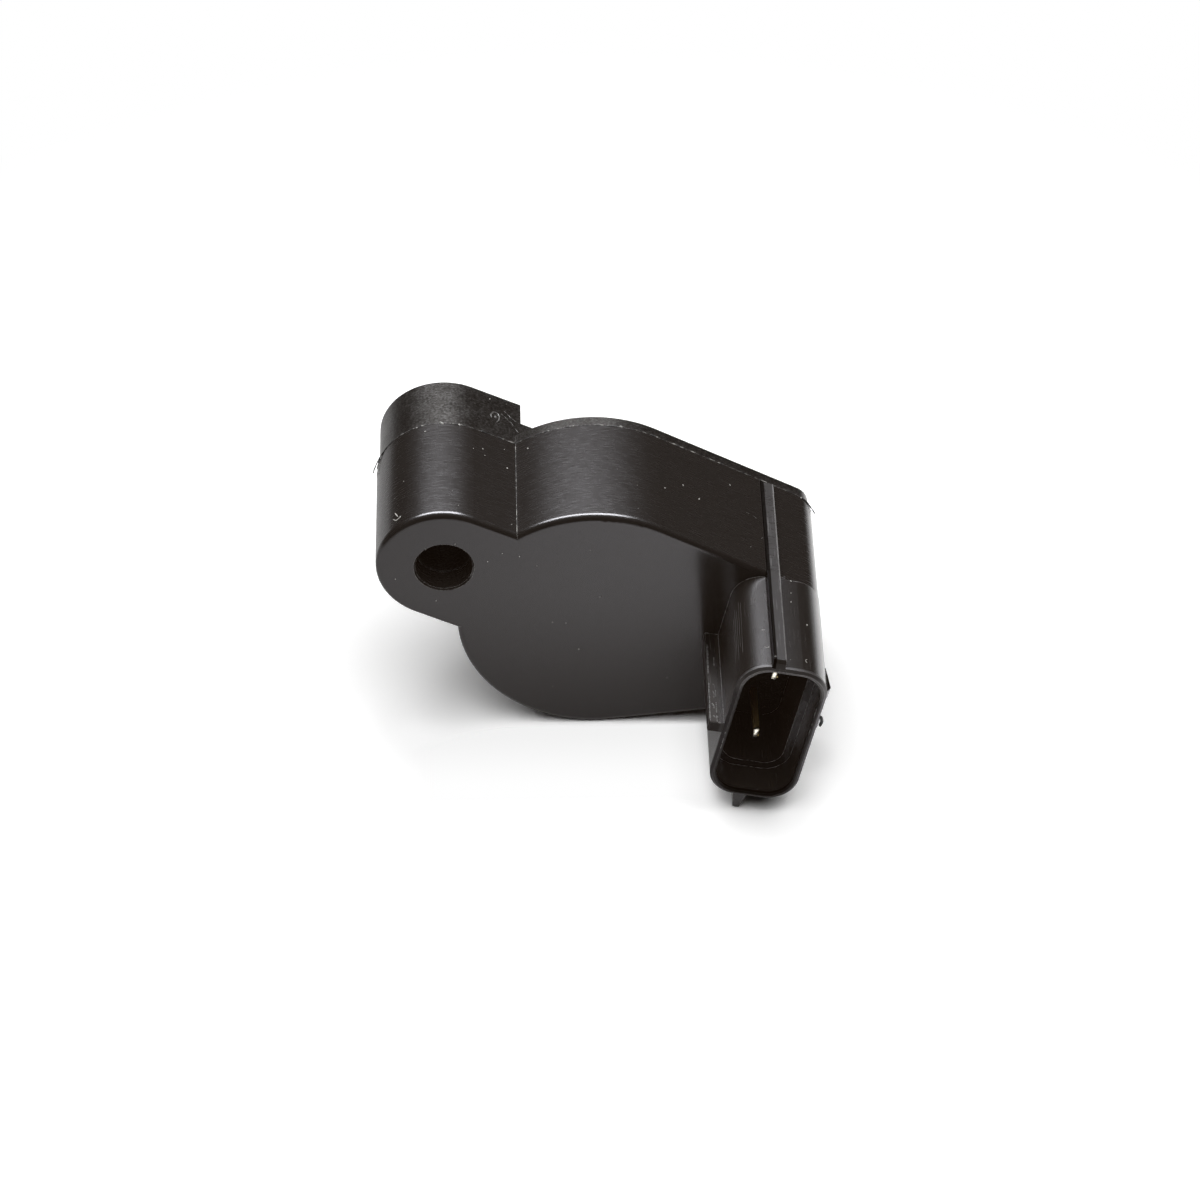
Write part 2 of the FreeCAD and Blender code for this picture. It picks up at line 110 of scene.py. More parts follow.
class NodeDesk:
    """Adds nodes to one node tree and links them."""

    def __init__(self, tree: bpy.types.NodeTree) -> None:
        """Keeps the tree that the nodes go into.

        Args:
            tree: node tree of a material or of a node group.
        """
        self.tree = tree

    def add(self, kind: str, inputs: dict | None = None, **settings: object) -> Node:
        """Adds one node.

        Args:
            kind: node type without its ShaderNode prefix.
            inputs: values or sockets by input name or index.
            settings: attributes of the node.

        Returns:
            The new node.
        """
        name = kind if kind.startswith("Node") else "ShaderNode" + kind
        node = self.tree.nodes.new(name)
        for key, value in settings.items():
            setattr(node, key, value)
        for key, value in (inputs or {}).items():
            self.feed(node.inputs[key], value)
        return node

    def feed(self, socket: Socket, value: object) -> None:
        """Links a socket to an output, or sets its constant.

        Args:
            socket: input to feed.
            value: output socket, number, vector or colour.
        """
        if isinstance(value, Socket):
            self.tree.links.new(value, socket)
        elif socket.type == "RGBA" and len(value) == 3:
            socket.default_value = (*value, 1.0)
        else:
            socket.default_value = value

    def math(self, operation: str, *values: object) -> Socket:
        """Adds a Math node and returns its output."""
        return self.add("Math", dict(enumerate(values)), operation=operation).outputs[0]

    def times(self, first: object, second: object) -> Socket:
        """Product of two values."""
        return self.math("MULTIPLY", first, second)

    def plus(self, first: object, second: object) -> Socket:
        """Sum of two values."""
        return self.math("ADD", first, second)

    def minus(self, first: object, second: object) -> Socket:
        """Difference of two values."""
        return self.math("SUBTRACT", first, second)

    def most(self, first: object, second: object) -> Socket:
        """Greater of two values."""
        return self.math("MAXIMUM", first, second)

    def least(self, first: object, second: object) -> Socket:
        """Smaller of two values."""
        return self.math("MINIMUM", first, second)

    def vector(self, operation: str, *values: object) -> Node:
        """Adds a Vector Math node and returns it."""
        return self.add("VectorMath", dict(enumerate(values)), operation=operation)

    def span(self, value: object, low: object, high: object, start: float = 0.0,
             end: float = 1.0) -> Socket:
        """Maps a value from one range to another with soft ends.

        Args:
            value: socket to map.
            low: value that gives start.
            high: value that gives end.
            start: result at low.
            end: result at high.

        Returns:
            The mapped, clamped socket.
        """
        inputs = {"Value": value, "From Min": low, "From Max": high, "To Min": start, "To Max": end}
        node = self.add("MapRange", inputs, interpolation_type="SMOOTHSTEP")
        return node.outputs["Result"]

    def blend(self, share: object, under: object, over: object) -> Socket:
        """Mixes two colours.

        Args:
            share: how much of the second colour shows.
            under: first colour.
            over: second colour.

        Returns:
            The mixed colour socket.
        """
        return self.add("Mix", {0: share, 6: under, 7: over}, data_type="RGBA").outputs[2]

    def noise(self, shape: object, detail: float, rough: float = 0.5) -> Socket:
        """Noise over the object.

        Args:
            shape: vector of feature sizes in millimetres.
            detail: number of finer layers.
            rough: strength of the finer layers.

        Returns:
            The noise value.
        """
        inputs = {"Vector": self.place(shape), "Scale": 1.0, "Detail": detail, "Roughness": rough}
        return self.add("TexNoise", inputs).outputs["Fac"]

    def triple(self, value: object) -> Socket:
        """Vector with one value on all three axes."""
        return self.add("CombineXYZ", {axis: value for axis in range(3)}).outputs[0]

    def mix(self, share: object, under: object, over: object) -> Socket:
        """Mixes two values."""
        return self.add("Mix", {0: share, 2: under, 3: over}, data_type="FLOAT").outputs[0]

    def swing(self, shader: Node, value: Socket, over: Range, middle: float, by: Range) -> None:
        """Lets a shader's roughness follow a value.

        Args:
            shader: shader to feed.
            value: what it follows.
            over: range of the value.
            middle: roughness to swing about.
            by: change of roughness at either end of the range.
        """
        self.feed(shader.inputs["Roughness"], self.span(value, *over, middle + by[0], middle + by[1]))

    def bump(self, shader: Node, height: object) -> None:
        """Raises a shader's surface by a height in millimetres."""
        node = self.add("Bump", {"Strength": 1.0, "Distance": MM, "Height": height})
        self.feed(shader.inputs["Normal"], node.outputs[0])

    def place(self, shape: object) -> Socket:
        """Object coordinates in millimetres, divided by a size or a vector of sizes.

        Args:
            shape: vector or socket of feature sizes in millimetres.

        Returns:
            The scaled coordinates.
        """
        here = self.add("TexCoord").outputs["Object"]
        scaled = self.vector("SCALE", here)
        scaled.inputs["Scale"].default_value = 1.0 / MM
        return self.vector("DIVIDE", scaled.outputs[0], shape).outputs[0]


@dataclass(frozen=True)
class SocketPlan:
    """Where the plug socket's parts lie, in millimetres along its own tilted axes.

    A pair is either where a mask starts and is full, or a middle and a half width.
    """

    shroud_from: float = -24.5
    top_rib: Range = (-1.1, 0.95)
    top_rib_up: Range = (10.40, 10.55)
    side_rib: Range = (-0.38, 0.85)
    side_rib_out: Range = (-5.5, -5.7)
    rim: Range = (-39.2, -39.5)
    lip: Range = (8.0, 5.0)
    catch_out: Range = (5.16, 5.24)
    catch_from: float = -34.0
    flank: Range = (-1.73, 0.23)
    flank_up: Range = (10.2, 0.46)
    crown_from: float = 0.3
    crown_reach: float = 2.0
    crown_curve: float = 0.026
    crown_up: Range = (2.0, 10.3)


class EffectShelf:
    """Builds each shared effect group once and hands it out."""

    def __init__(self) -> None:
        """Starts with an empty shelf."""
        self.groups: dict[Effect, bpy.types.NodeTree] = {}

    def place(self, desk: NodeDesk, effect: Effect, **values: object) -> Node:
        """Puts an effect group into a material.

        Args:
            desk: desk of the material's tree.
            effect: which effect.
            values: inputs of the group, with underscores for spaces.

        Returns:
            The group node.
        """
        if effect not in self.groups:
            maker = {Effect.GRAIN: self.grain, Effect.WEAR: self.wear, Effect.DUST: self.dust,
                     Effect.STREAK: self.streak, Effect.ZONES: self.zones}
            self.groups[effect] = maker[effect]()
        node = desk.add("Group", node_tree=self.groups[effect])
        for key, value in values.items():
            desk.feed(node.inputs[key.replace("_", " ")], value)
        return node

    @staticmethod
    def open_group(effect: Effect, inputs: dict[str, float | Point],
                   outputs: tuple[str, ...]) -> tuple[NodeDesk, Node, Node]:
        """Starts a node group with named sockets.

        Args:
            effect: the effect the group holds.
            inputs: default of each input; a tuple makes a vector socket.
            outputs: names of the value outputs.

        Returns:
            The desk, the input node and the output node.
        """
        tree = bpy.data.node_groups.new(effect.value, "ShaderNodeTree")
        for name, default in inputs.items():
            kind = "NodeSocketVector" if isinstance(default, tuple) else "NodeSocketFloat"
            tree.interface.new_socket(name, in_out="INPUT", socket_type=kind).default_value = default
        for name in outputs:
            tree.interface.new_socket(name, in_out="OUTPUT", socket_type="NodeSocketFloat")
        desk = NodeDesk(tree)
        return desk, desk.add("NodeGroupInput"), desk.add("NodeGroupOutput")

    def grain(self) -> bpy.types.NodeTree:
        """Fine moulded grain with slow patches: Height for bump, Patch for tone."""
        sizes = {"Size": (0.2, 0.2, 0.2), "Patch Size": (6.0, 6.0, 6.0)}
        desk, given, result = self.open_group(Effect.GRAIN, sizes, ("Height", "Patch"))
        fine = desk.noise(given.outputs["Size"], 3.0, 0.6)
        slow = desk.noise(given.outputs["Patch Size"], 4.0, 0.55)
        desk.feed(result.inputs["Height"], fine)
        desk.feed(result.inputs["Patch"], desk.span(slow, 0.3, 0.7))
        return desk.tree

    def wear(self) -> bpy.types.NodeTree:
        """Rubbed edges and corners: Mask is 1 on an edge and breaks up along it."""
        sizes = {"Radius": 0.12, "Break Size": 0.5, "Amount": 0.6}
        desk, given, result = self.open_group(Effect.WEAR, sizes, ("Mask",))
        soft = desk.add("Bevel", {"Radius": desk.times(given.outputs["Radius"], MM)}, samples=4)
        true = desk.add("NewGeometry")
        turn = desk.vector("DOT_PRODUCT", soft.outputs[0], true.outputs["Normal"]).outputs["Value"]
        edge = desk.span(turn, 0.995, 0.86)
        broken = desk.noise(desk.triple(given.outputs["Break Size"]), 3.0)
        amount = given.outputs["Amount"]
        kept = desk.span(broken, desk.minus(0.85, amount), desk.minus(1.1, amount))
        desk.feed(result.inputs["Mask"], desk.times(edge, kept))
        return desk.tree

    def dust(self) -> bpy.types.NodeTree:
        """Scattered pale specks: Mask is 1 on a speck."""
        sizes = {"Cell": 1.2, "Share": 0.2, "Speck": 0.06}
        desk, given, result = self.open_group(Effect.DUST, sizes, ("Mask",))
        cell = given.outputs["Cell"]
        cells = desk.add("TexVoronoi", {"Vector": desk.place(desk.triple(cell)), "Scale": 1.0}, feature="F1")
        lot = desk.add("SeparateColor", {0: cells.outputs["Color"]})
        reach = desk.times(given.outputs["Speck"], desk.plus(lot.outputs[1], 0.4))
        reach = desk.math("DIVIDE", reach, cell)
        inside = desk.span(cells.outputs["Distance"], reach, desk.times(reach, 0.5))
        chosen = desk.math("LESS_THAN", lot.outputs[0], given.outputs["Share"])
        desk.feed(result.inputs["Mask"], desk.times(inside, chosen))
        return desk.tree

    def streak(self) -> bpy.types.NodeTree:
        """Lines drawn out along one direction: Height for bump, Mask for rubbed lines."""
        sizes = {"Shape": (0.1, 4.0, 0.1), "Patch Size": (4.0, 4.0, 4.0), "Amount": 0.4}
        desk, given, result = self.open_group(Effect.STREAK, sizes, ("Height", "Mask"))
        lines = desk.noise(given.outputs["Shape"], 2.0)
        patch = desk.noise(given.outputs["Patch Size"], 2.0)
        amount = given.outputs["Amount"]
        here = desk.span(patch, desk.minus(0.9, amount), desk.minus(1.1, amount))
        desk.feed(result.inputs["Height"], lines)
        desk.feed(result.inputs["Mask"], desk.times(desk.span(lines, 0.56, 0.72), here))
        return desk.tree

    def zones(self) -> bpy.types.NodeTree:
        """Places on the plug socket.

        Ribs is 1 on the rib tops, Side on the side rib alone, Rim at the mouth's end, Lip on the rim below
        its top, Shade on the catches and the top rib's left flank and Shroud on the shroud; Crown is the
        sunken height of the shroud's top, in millimetres.
        """
        names = ("Ribs", "Side", "Rim", "Lip", "Shade", "Shroud", "Crown")
        desk, _, result = self.open_group(Effect.ZONES, {}, names)
        plan = SocketPlan()
        here = desk.add("SeparateXYZ", {0: desk.place((1.0, 1.0, 1.0))})
        tilt = math.radians(SOCKET_TILT)
        x = desk.minus(here.outputs[0], SOCKET_MIDDLE[0])
        z = desk.minus(here.outputs[2], SOCKET_MIDDLE[2])
        depth = here.outputs[1]
        u = desk.minus(desk.times(x, math.cos(tilt)), desk.times(z, math.sin(tilt)))
        v = desk.plus(desk.times(x, math.sin(tilt)), desk.times(z, math.cos(tilt)))
        shroud = desk.math("LESS_THAN", depth, plan.shroud_from)
        top = desk.times(desk.span(v, *plan.top_rib_up), desk.math("COMPARE", u, *plan.top_rib))
        side = desk.times(desk.span(u, *plan.side_rib_out), desk.math("COMPARE", v, *plan.side_rib))
        side = desk.times(side, shroud)
        rim = desk.span(depth, *plan.rim)
        catch = desk.times(desk.span(u, *plan.catch_out), desk.math("LESS_THAN", depth, plan.catch_from))
        flank = desk.times(desk.math("COMPARE", u, *plan.flank), desk.math("COMPARE", v, *plan.flank_up))
        across = desk.most(desk.plus(u, plan.crown_from), 0.0)
        near = desk.least(across, plan.crown_reach)
        slope = 2 * plan.crown_curve * plan.crown_reach
        sink = desk.times(desk.times(near, near), -plan.crown_curve)
        sink = desk.minus(sink, desk.times(desk.minus(across, near), slope))
        low, high = plan.crown_up
        roof = desk.times(desk.math("GREATER_THAN", v, low), desk.math("LESS_THAN", v, high))
        places = (desk.most(top, side), side, rim, desk.times(rim, desk.span(v, *plan.lip)),
                  desk.most(catch, flank), shroud, desk.times(sink, desk.times(roof, shroud)))
        for name, place in zip(names, places):
            desk.feed(result.inputs[name], place)
        return desk.tree


SHELF = EffectShelf()


def empty_material(name: str) -> tuple[Material, NodeDesk]:
    """Makes a material without nodes.

    Args:
        name: name of the material.

    Returns:
        The material and the desk of its tree.
    """
    material = bpy.data.materials.new(name)
    material.use_nodes = True
    material.node_tree.nodes.clear()
    return material, NodeDesk(material.node_tree)


class Finish:
    """A material with one Principled BSDF, ready for its own nodes."""

    def open(self, name: str, painted_glow: float = 0.0) -> tuple[Material, NodeDesk, Node]:
        """Makes the material.

        Args:
            name: name of the material.
            painted_glow: strength of a faint painted glow over it, which lifts its blacks like lens haze.

        Returns:
            The material, the desk of its tree and its shader.
        """
        material, desk = empty_material(name)
        shader = desk.add("BsdfPrincipled", {"Emission Color": PAINTED_GLOW_TINT, "Emission Strength": painted_glow})
        desk.feed(desk.add("OutputMaterial").inputs["Surface"], shader.outputs[0])
        return material, desk, shader


@dataclass(frozen=True)
class MouldedPlastic(Finish):
    """Black glass-filled plastic as it leaves the mould."""

    name: str
    colour: Colour = (0.0165, 0.0138, 0.0118)
    colour_swing: float = 0.04
    rubbed: Colour = (0.30, 0.29, 0.28)
    scuffed: Colour = (0.085, 0.082, 0.080)
    scuff_least: float = 0.04
    dragged: Colour = (0.034, 0.031, 0.029)
    # Painted shade: the catches, the top rib's left flank and the rim's lower part take this near-black
    # colour, in these shares.
    painted_shade_colour: Colour = (0.003, 0.0026, 0.0023)
    painted_shade_share: float = 0.96
    painted_lip_shade: Range = (0.96, 0.68)
    dull_side: float = 0.60
    wall_rough: float = 0.25
    face_rough: float = 0.15
    rib_rough: float = 0.05
    rim_rough: float = 0.25
    worn_rough: float = 0.2
    rough_swing: float = 0.032
    specular: Colour = (0.97, 0.955, 1.0)
    # Strength of the painted glow that lifts the plastic's black.
    painted_glow: float = 0.0045
    wall_grain: Point = (1.2, 0.13, 1.2)
    face_grain: Point = (0.16, 0.16, 0.16)
    wall_depth: float = 0.0042
    face_depth: float = 0.0016
    shroud_calm: float = 0.35
    wear_amount: float = 0.55
    dust_share: float = 0.10
    speck_height: float = 0.02

    def material(self) -> Material:
        """Builds the plastic; its painted-shade places, the catches, the top rib's left flank and the rim's
        lower part, are part metal with a near-black base, which cuts the shine.

        Returns:
            The material.
        """
        material, desk, shader = self.open(self.name, self.painted_glow)
        wall = SHELF.place(desk, Effect.GRAIN, Size=self.wall_grain)
        face = SHELF.place(desk, Effect.GRAIN, Size=self.face_grain)
        wear = SHELF.place(desk, Effect.WEAR, Radius=0.11, Break_Size=0.35, Amount=self.wear_amount)
        dust = SHELF.place(desk, Effect.DUST, Cell=1.1, Share=self.dust_share, Speck=0.05)
        zones = SHELF.place(desk, Effect.ZONES).outputs
        drag = SHELF.place(desk, Effect.STREAK, Shape=(0.2, 4.0, 0.2), Patch_Size=(0.9, 2.5, 0.9), Amount=0.5)
        normal = desk.add("SeparateXYZ", {0: desk.add("NewGeometry").outputs["Normal"]})
        facing = desk.span(desk.math("ABSOLUTE", normal.outputs[1]), 0.6, 0.8)
        low, high = 1.0 - self.colour_swing, 1.0 + self.colour_swing
        dark, pale = tuple(c * low for c in self.colour), tuple(c * high for c in self.colour)
        tone = desk.blend(wall.outputs["Patch"], dark, pale)
        tone = desk.blend(desk.times(drag.outputs["Mask"], zones["Shroud"]), tone, self.dragged)
        scuff = desk.span(drag.outputs["Mask"], 0.0, 1.0, self.scuff_least, 1.0)
        tone = desk.blend(desk.times(scuff, zones["Ribs"]), tone, self.scuffed)
        tone = desk.blend(wear.outputs["Mask"], tone, self.rubbed)
        tone = desk.blend(dust.outputs["Mask"], tone, SPECK_TONE)
        # Painted shade: the Shade zone and the rim's lower part turn near-black and part metal.
        edge = desk.times(zones["Lip"], desk.span(facing, 0.0, 1.0, *self.painted_lip_shade))
        painted_shade_and_dull = desk.least(desk.plus(desk.times(zones["Shade"], self.painted_shade_share), edge), 1.0)
        desk.feed(shader.inputs["Base Color"], desk.blend(painted_shade_and_dull, tone, self.painted_shade_colour))
        painted_shade_and_dull = desk.plus(painted_shade_and_dull, desk.times(zones["Side"], self.dull_side))
        desk.feed(shader.inputs["Metallic"], desk.least(painted_shade_and_dull, self.painted_shade_share))
        calm = desk.span(zones["Shroud"], 0.0, 1.0, 1.0, self.shroud_calm)
        brushed = desk.span(wall.outputs["Height"], 0.3, 0.7, -self.rough_swing, self.rough_swing)
        rough = desk.mix(facing, self.wall_rough, self.face_rough)
        rough = desk.plus(rough, desk.times(zones["Ribs"], self.rib_rough))
        rough = desk.plus(rough, desk.times(zones["Rim"], self.rim_rough))
        rough = desk.plus(rough, desk.times(desk.times(brushed, desk.minus(1.0, facing)), calm))
        rough = desk.plus(rough, desk.times(wear.outputs["Mask"], self.worn_rough))
        desk.feed(shader.inputs["Roughness"], rough)
        desk.feed(shader.inputs["Specular Tint"], self.specular)
        wall_height = desk.times(wall.outputs["Height"], desk.times(calm, self.wall_depth))
        height = desk.mix(facing, wall_height, desk.times(face.outputs["Height"], self.face_depth))
        height = desk.plus(height, desk.times(dust.outputs["Mask"], self.speck_height))
        desk.bump(shader, desk.plus(height, zones["Crown"]))
        return material


@dataclass(frozen=True)
class SparkTexture(Finish):
    """Black plastic from a spark-eroded mould face; its grain crests are painted bright where they catch
    light and its pits painted dark as shade.
    """

    name: str
    colour: Colour = (0.0175, 0.0146, 0.0125)
    rubbed: Colour = (0.20, 0.195, 0.19)
    # Painted shade in the grain's pits and painted highlight on its crests.
    painted_pit_shade: Colour = (0.006, 0.005, 0.0045)
    painted_crest_highlight: Colour = (0.044, 0.042, 0.040)
    roughness: float = 0.31
    painted_shade_and_dull: Range = (0.64, 0.04)
    # Strength of the painted glow that lifts the plastic's black.
    painted_glow: float = 0.0045
    grain: Point = (0.27, 0.21, 0.27)
    depth: float = 0.020
    wear_amount: float = 0.55

    def material(self) -> Material:
        """Builds the textured plastic.

        Returns:
            The material.
        """
        material, desk, shader = self.open(self.name, self.painted_glow)
        grain = SHELF.place(desk, Effect.GRAIN, Size=self.grain, Patch_Size=(2.5, 2.5, 2.5))
        wear = SHELF.place(desk, Effect.WEAR, Radius=0.12, Break_Size=0.4, Amount=self.wear_amount)
        scuffs = SHELF.place(desk, Effect.STREAK, Shape=(0.08, 1.4, 0.08), Patch_Size=(2.0, 2.0, 2.0),
                             Amount=0.42)
        dust = SHELF.place(desk, Effect.DUST, Cell=0.9, Share=0.16, Speck=0.05)
        tone = desk.blend(desk.span(grain.outputs["Height"], 0.52, 0.68), self.colour, self.painted_crest_highlight)
        tone = desk.blend(desk.span(grain.outputs["Height"], 0.46, 0.34), tone, self.painted_pit_shade)
        tone = desk.blend(desk.times(scuffs.outputs["Mask"], 0.25), tone, self.rubbed)
        tone = desk.blend(wear.outputs["Mask"], tone, self.rubbed)
        tone = desk.blend(dust.outputs["Mask"], tone, SPECK_TONE)
        desk.feed(shader.inputs["Base Color"], tone)
        desk.swing(shader, grain.outputs["Patch"], (0.0, 1.0), self.roughness, (-0.03, 0.03))
        # The metal share over the dark pit colour deepens the painted shade in the pits.
        desk.feed(shader.inputs["Metallic"], desk.span(grain.outputs["Height"], 0.35, 0.7, *self.painted_shade_and_dull))
        height = desk.times(grain.outputs["Height"], self.depth)
        desk.bump(shader, height)
        return material


@dataclass(frozen=True)
class SealantBead(Finish):
    """Squeezed-out joint compound: short pale smears between dark gaps."""

    name: str
    dark: Colour = (0.010, 0.008, 0.007)
    pale: Colour = (0.40, 0.385, 0.36)
    roughness: float = 0.5
    dash: Point = (0.9, 0.9, 0.9)

    def material(self) -> Material:
        """Builds the bead.

        Returns:
            The material.
        """
        material, desk, shader = self.open(self.name)
        dashes = SHELF.place(desk, Effect.GRAIN, Size=self.dash, Patch_Size=(3.0, 3.0, 3.0))
        fine = SHELF.place(desk, Effect.GRAIN, Size=(0.12, 0.12, 0.12))
        pale = desk.span(dashes.outputs["Height"], 0.47, 0.62)
        desk.feed(shader.inputs["Base Color"], desk.blend(pale, self.dark, self.pale))
        desk.swing(shader, fine.outputs["Patch"], (0.0, 1.0), self.roughness, (-0.1, 0.1))
        height = desk.times(fine.outputs["Height"], 0.03)
        desk.bump(shader, height)
        return material


@dataclass(frozen=True)
class DrawnMetal(Finish):
    """Metal with fine lines from rolling, drawing or turning."""

    name: str
    colour: Colour
    tarnish: Colour
    roughness: float = 0.28
    lines: Point = (0.05, 3.0, 0.05)
    depth: float = 0.002
    tarnish_share: float = 0.5
    metal: float = 1.0
    # Strength of a painted glow over the metal; none unless given.
    painted_glow: float = 0.0

    def material(self) -> Material:
        """Builds the metal.

        Returns:
            The material.
        """
        material, desk, shader = self.open(self.name, self.painted_glow)
        lines = SHELF.place(desk, Effect.STREAK, Shape=self.lines, Patch_Size=(1.5, 1.5, 1.5),
                            Amount=self.tarnish_share)
        grain = SHELF.place(desk, Effect.GRAIN, Size=(0.1, 0.1, 0.1), Patch_Size=(1.6, 1.6, 1.6))
        tone = desk.blend(desk.times(grain.outputs["Patch"], self.tarnish_share), self.colour, self.tarnish)
        tone = desk.blend(desk.times(lines.outputs["Mask"], 0.5), tone, self.tarnish)
        desk.feed(shader.inputs["Base Color"], tone)
        shader.inputs["Metallic"].default_value = self.metal
        desk.swing(shader, grain.outputs["Patch"], (0.0, 1.0), self.roughness, (-0.06, 0.12))
        height = desk.times(lines.outputs["Height"], self.depth)
        desk.bump(shader, height)
        return material


@dataclass(frozen=True)
class MattGrain(Finish):
    """Dull material with a fine grain, such as rubber, nylon or sintered ferrite."""

    name: str
    colour: Colour
    patch: Colour
    roughness: float = 0.6
    grain: Point = (0.12, 0.12, 0.12)
    depth: float = 0.004
    dust_share: float = 0.1

    def material(self) -> Material:
        """Builds the dull material.

        Returns:
            The material.
        """
        material, desk, shader = self.open(self.name)
        grain = SHELF.place(desk, Effect.GRAIN, Size=self.grain, Patch_Size=(2.5, 2.5, 2.5))
        dust = SHELF.place(desk, Effect.DUST, Cell=0.8, Share=self.dust_share, Speck=0.05)
        tone = desk.blend(grain.outputs["Patch"], self.colour, self.patch)
        tone = desk.blend(dust.outputs["Mask"], tone, (0.4, 0.39, 0.37))
        desk.feed(shader.inputs["Base Color"], tone)
        desk.swing(shader, grain.outputs["Height"], (0.3, 0.7), self.roughness, (-0.08, 0.08))
        height = desk.times(grain.outputs["Height"], self.depth)
        desk.bump(shader, height)
        return material


@dataclass(frozen=True)
class EnamelledWire(Finish):
    """Fine enamelled copper wire laid in even turns."""

    name: str
    colour: Colour = (0.46, 0.17, 0.06)
    shade: Colour = (0.22, 0.07, 0.025)
    pitch: float = 0.16
    depth: float = 0.05

    def material(self) -> Material:
        """Builds the wire.

        Returns:
            The material.
        """
        material, desk, shader = self.open(self.name)
        grain = SHELF.place(desk, Effect.GRAIN, Size=(0.3, 0.08, 0.3), Patch_Size=(1.5, 1.5, 1.5))
        pitch = desk.place((self.pitch, self.pitch, self.pitch))
        turns = desk.add("TexWave", {"Vector": pitch, "Scale": 0.318, "Distortion": 0.3},
                         wave_type="BANDS", bands_direction="Y")
        tone = desk.blend(turns.outputs["Fac"], self.shade, self.colour)
        desk.feed(shader.inputs["Base Color"], desk.blend(grain.outputs["Patch"], tone, self.colour))
        shader.inputs["Metallic"].default_value = 0.85
        desk.feed(shader.inputs["Roughness"], desk.span(grain.outputs["Height"], 0.3, 0.7, 0.26, 0.4))
        desk.bump(shader, desk.times(turns.outputs["Fac"], self.depth))
        return material


def dress(node: str, material: Material) -> None:
    """Gives a CAD node its finish.

    Args:
        node: name of the CAD node.
        material: finish to show.
    """
    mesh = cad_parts[node].data
    mesh.materials.clear()
    mesh.materials.append(material)
    LOG.info("dressed %s with %s", node, material.name)


class Skin:
    """Finds the CAD surface, so that marks sit on it."""

    def __init__(self, *nodes: str) -> None:
        """Reads the nodes' meshes.

        Args:
            nodes: names of the CAD nodes that carry the marks.
        """
        self.trees = []
        for node in nodes:
            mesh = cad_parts[node].data
            corners = [vertex.co.copy() for vertex in mesh.vertices]
            self.trees.append(BVHTree.FromPolygons(corners, [list(face.vertices) for face in mesh.polygons]))

    def nearest(self, point: Vector) -> tuple[Vector, Vector]:
        """Closest surface point.

        Args:
            point: point in metres.

        Returns:
            The place on the surface and the surface normal there.
        """
        found = [tree.find_nearest(point) for tree in self.trees]
        place, normal, _, _ = min(found, key=lambda hit: hit[3])
        return place, normal

    def trace(self, points: list[Point], step: float) -> list[Vector]:
        """Line over the surface through the given points.

        Args:
            points: corners of the line, in millimetres.
            step: spacing along it, in millimetres.

        Returns:
            Places on the surface.
        """
        line = []
        for start, end in zip(points, points[1:]):
            a, b = millimetres(start), millimetres(end)
            count = max(int((b - a).length / (step * MM)), 1)
            line += [self.nearest(a.lerp(b, i / count))[0] for i in range(count)]
        line.append(self.nearest(millimetres(points[-1]))[0])
        return line

    def outline(self, middle: Point, depth: float, count: int) -> list[Vector]:
        """Outside outline of the surface at one depth.

        Args:
            middle: plan point inside the outline, in millimetres.
            depth: depth of the cut, in millimetres.
            count: number of points round it.

        Returns:
            Places on the outline, in order.
        """
        centre = millimetres((middle[0], depth, middle[2]))
        found = []
        for i in range(count):
            turn = 2 * math.pi * i / count
            ray = Vector((math.cos(turn), 0.0, math.sin(turn)))
            hit = self.trees[0].ray_cast(centre + ray * 0.08, -ray)[0]
            if hit is not None:
                found.append(hit)
        return found


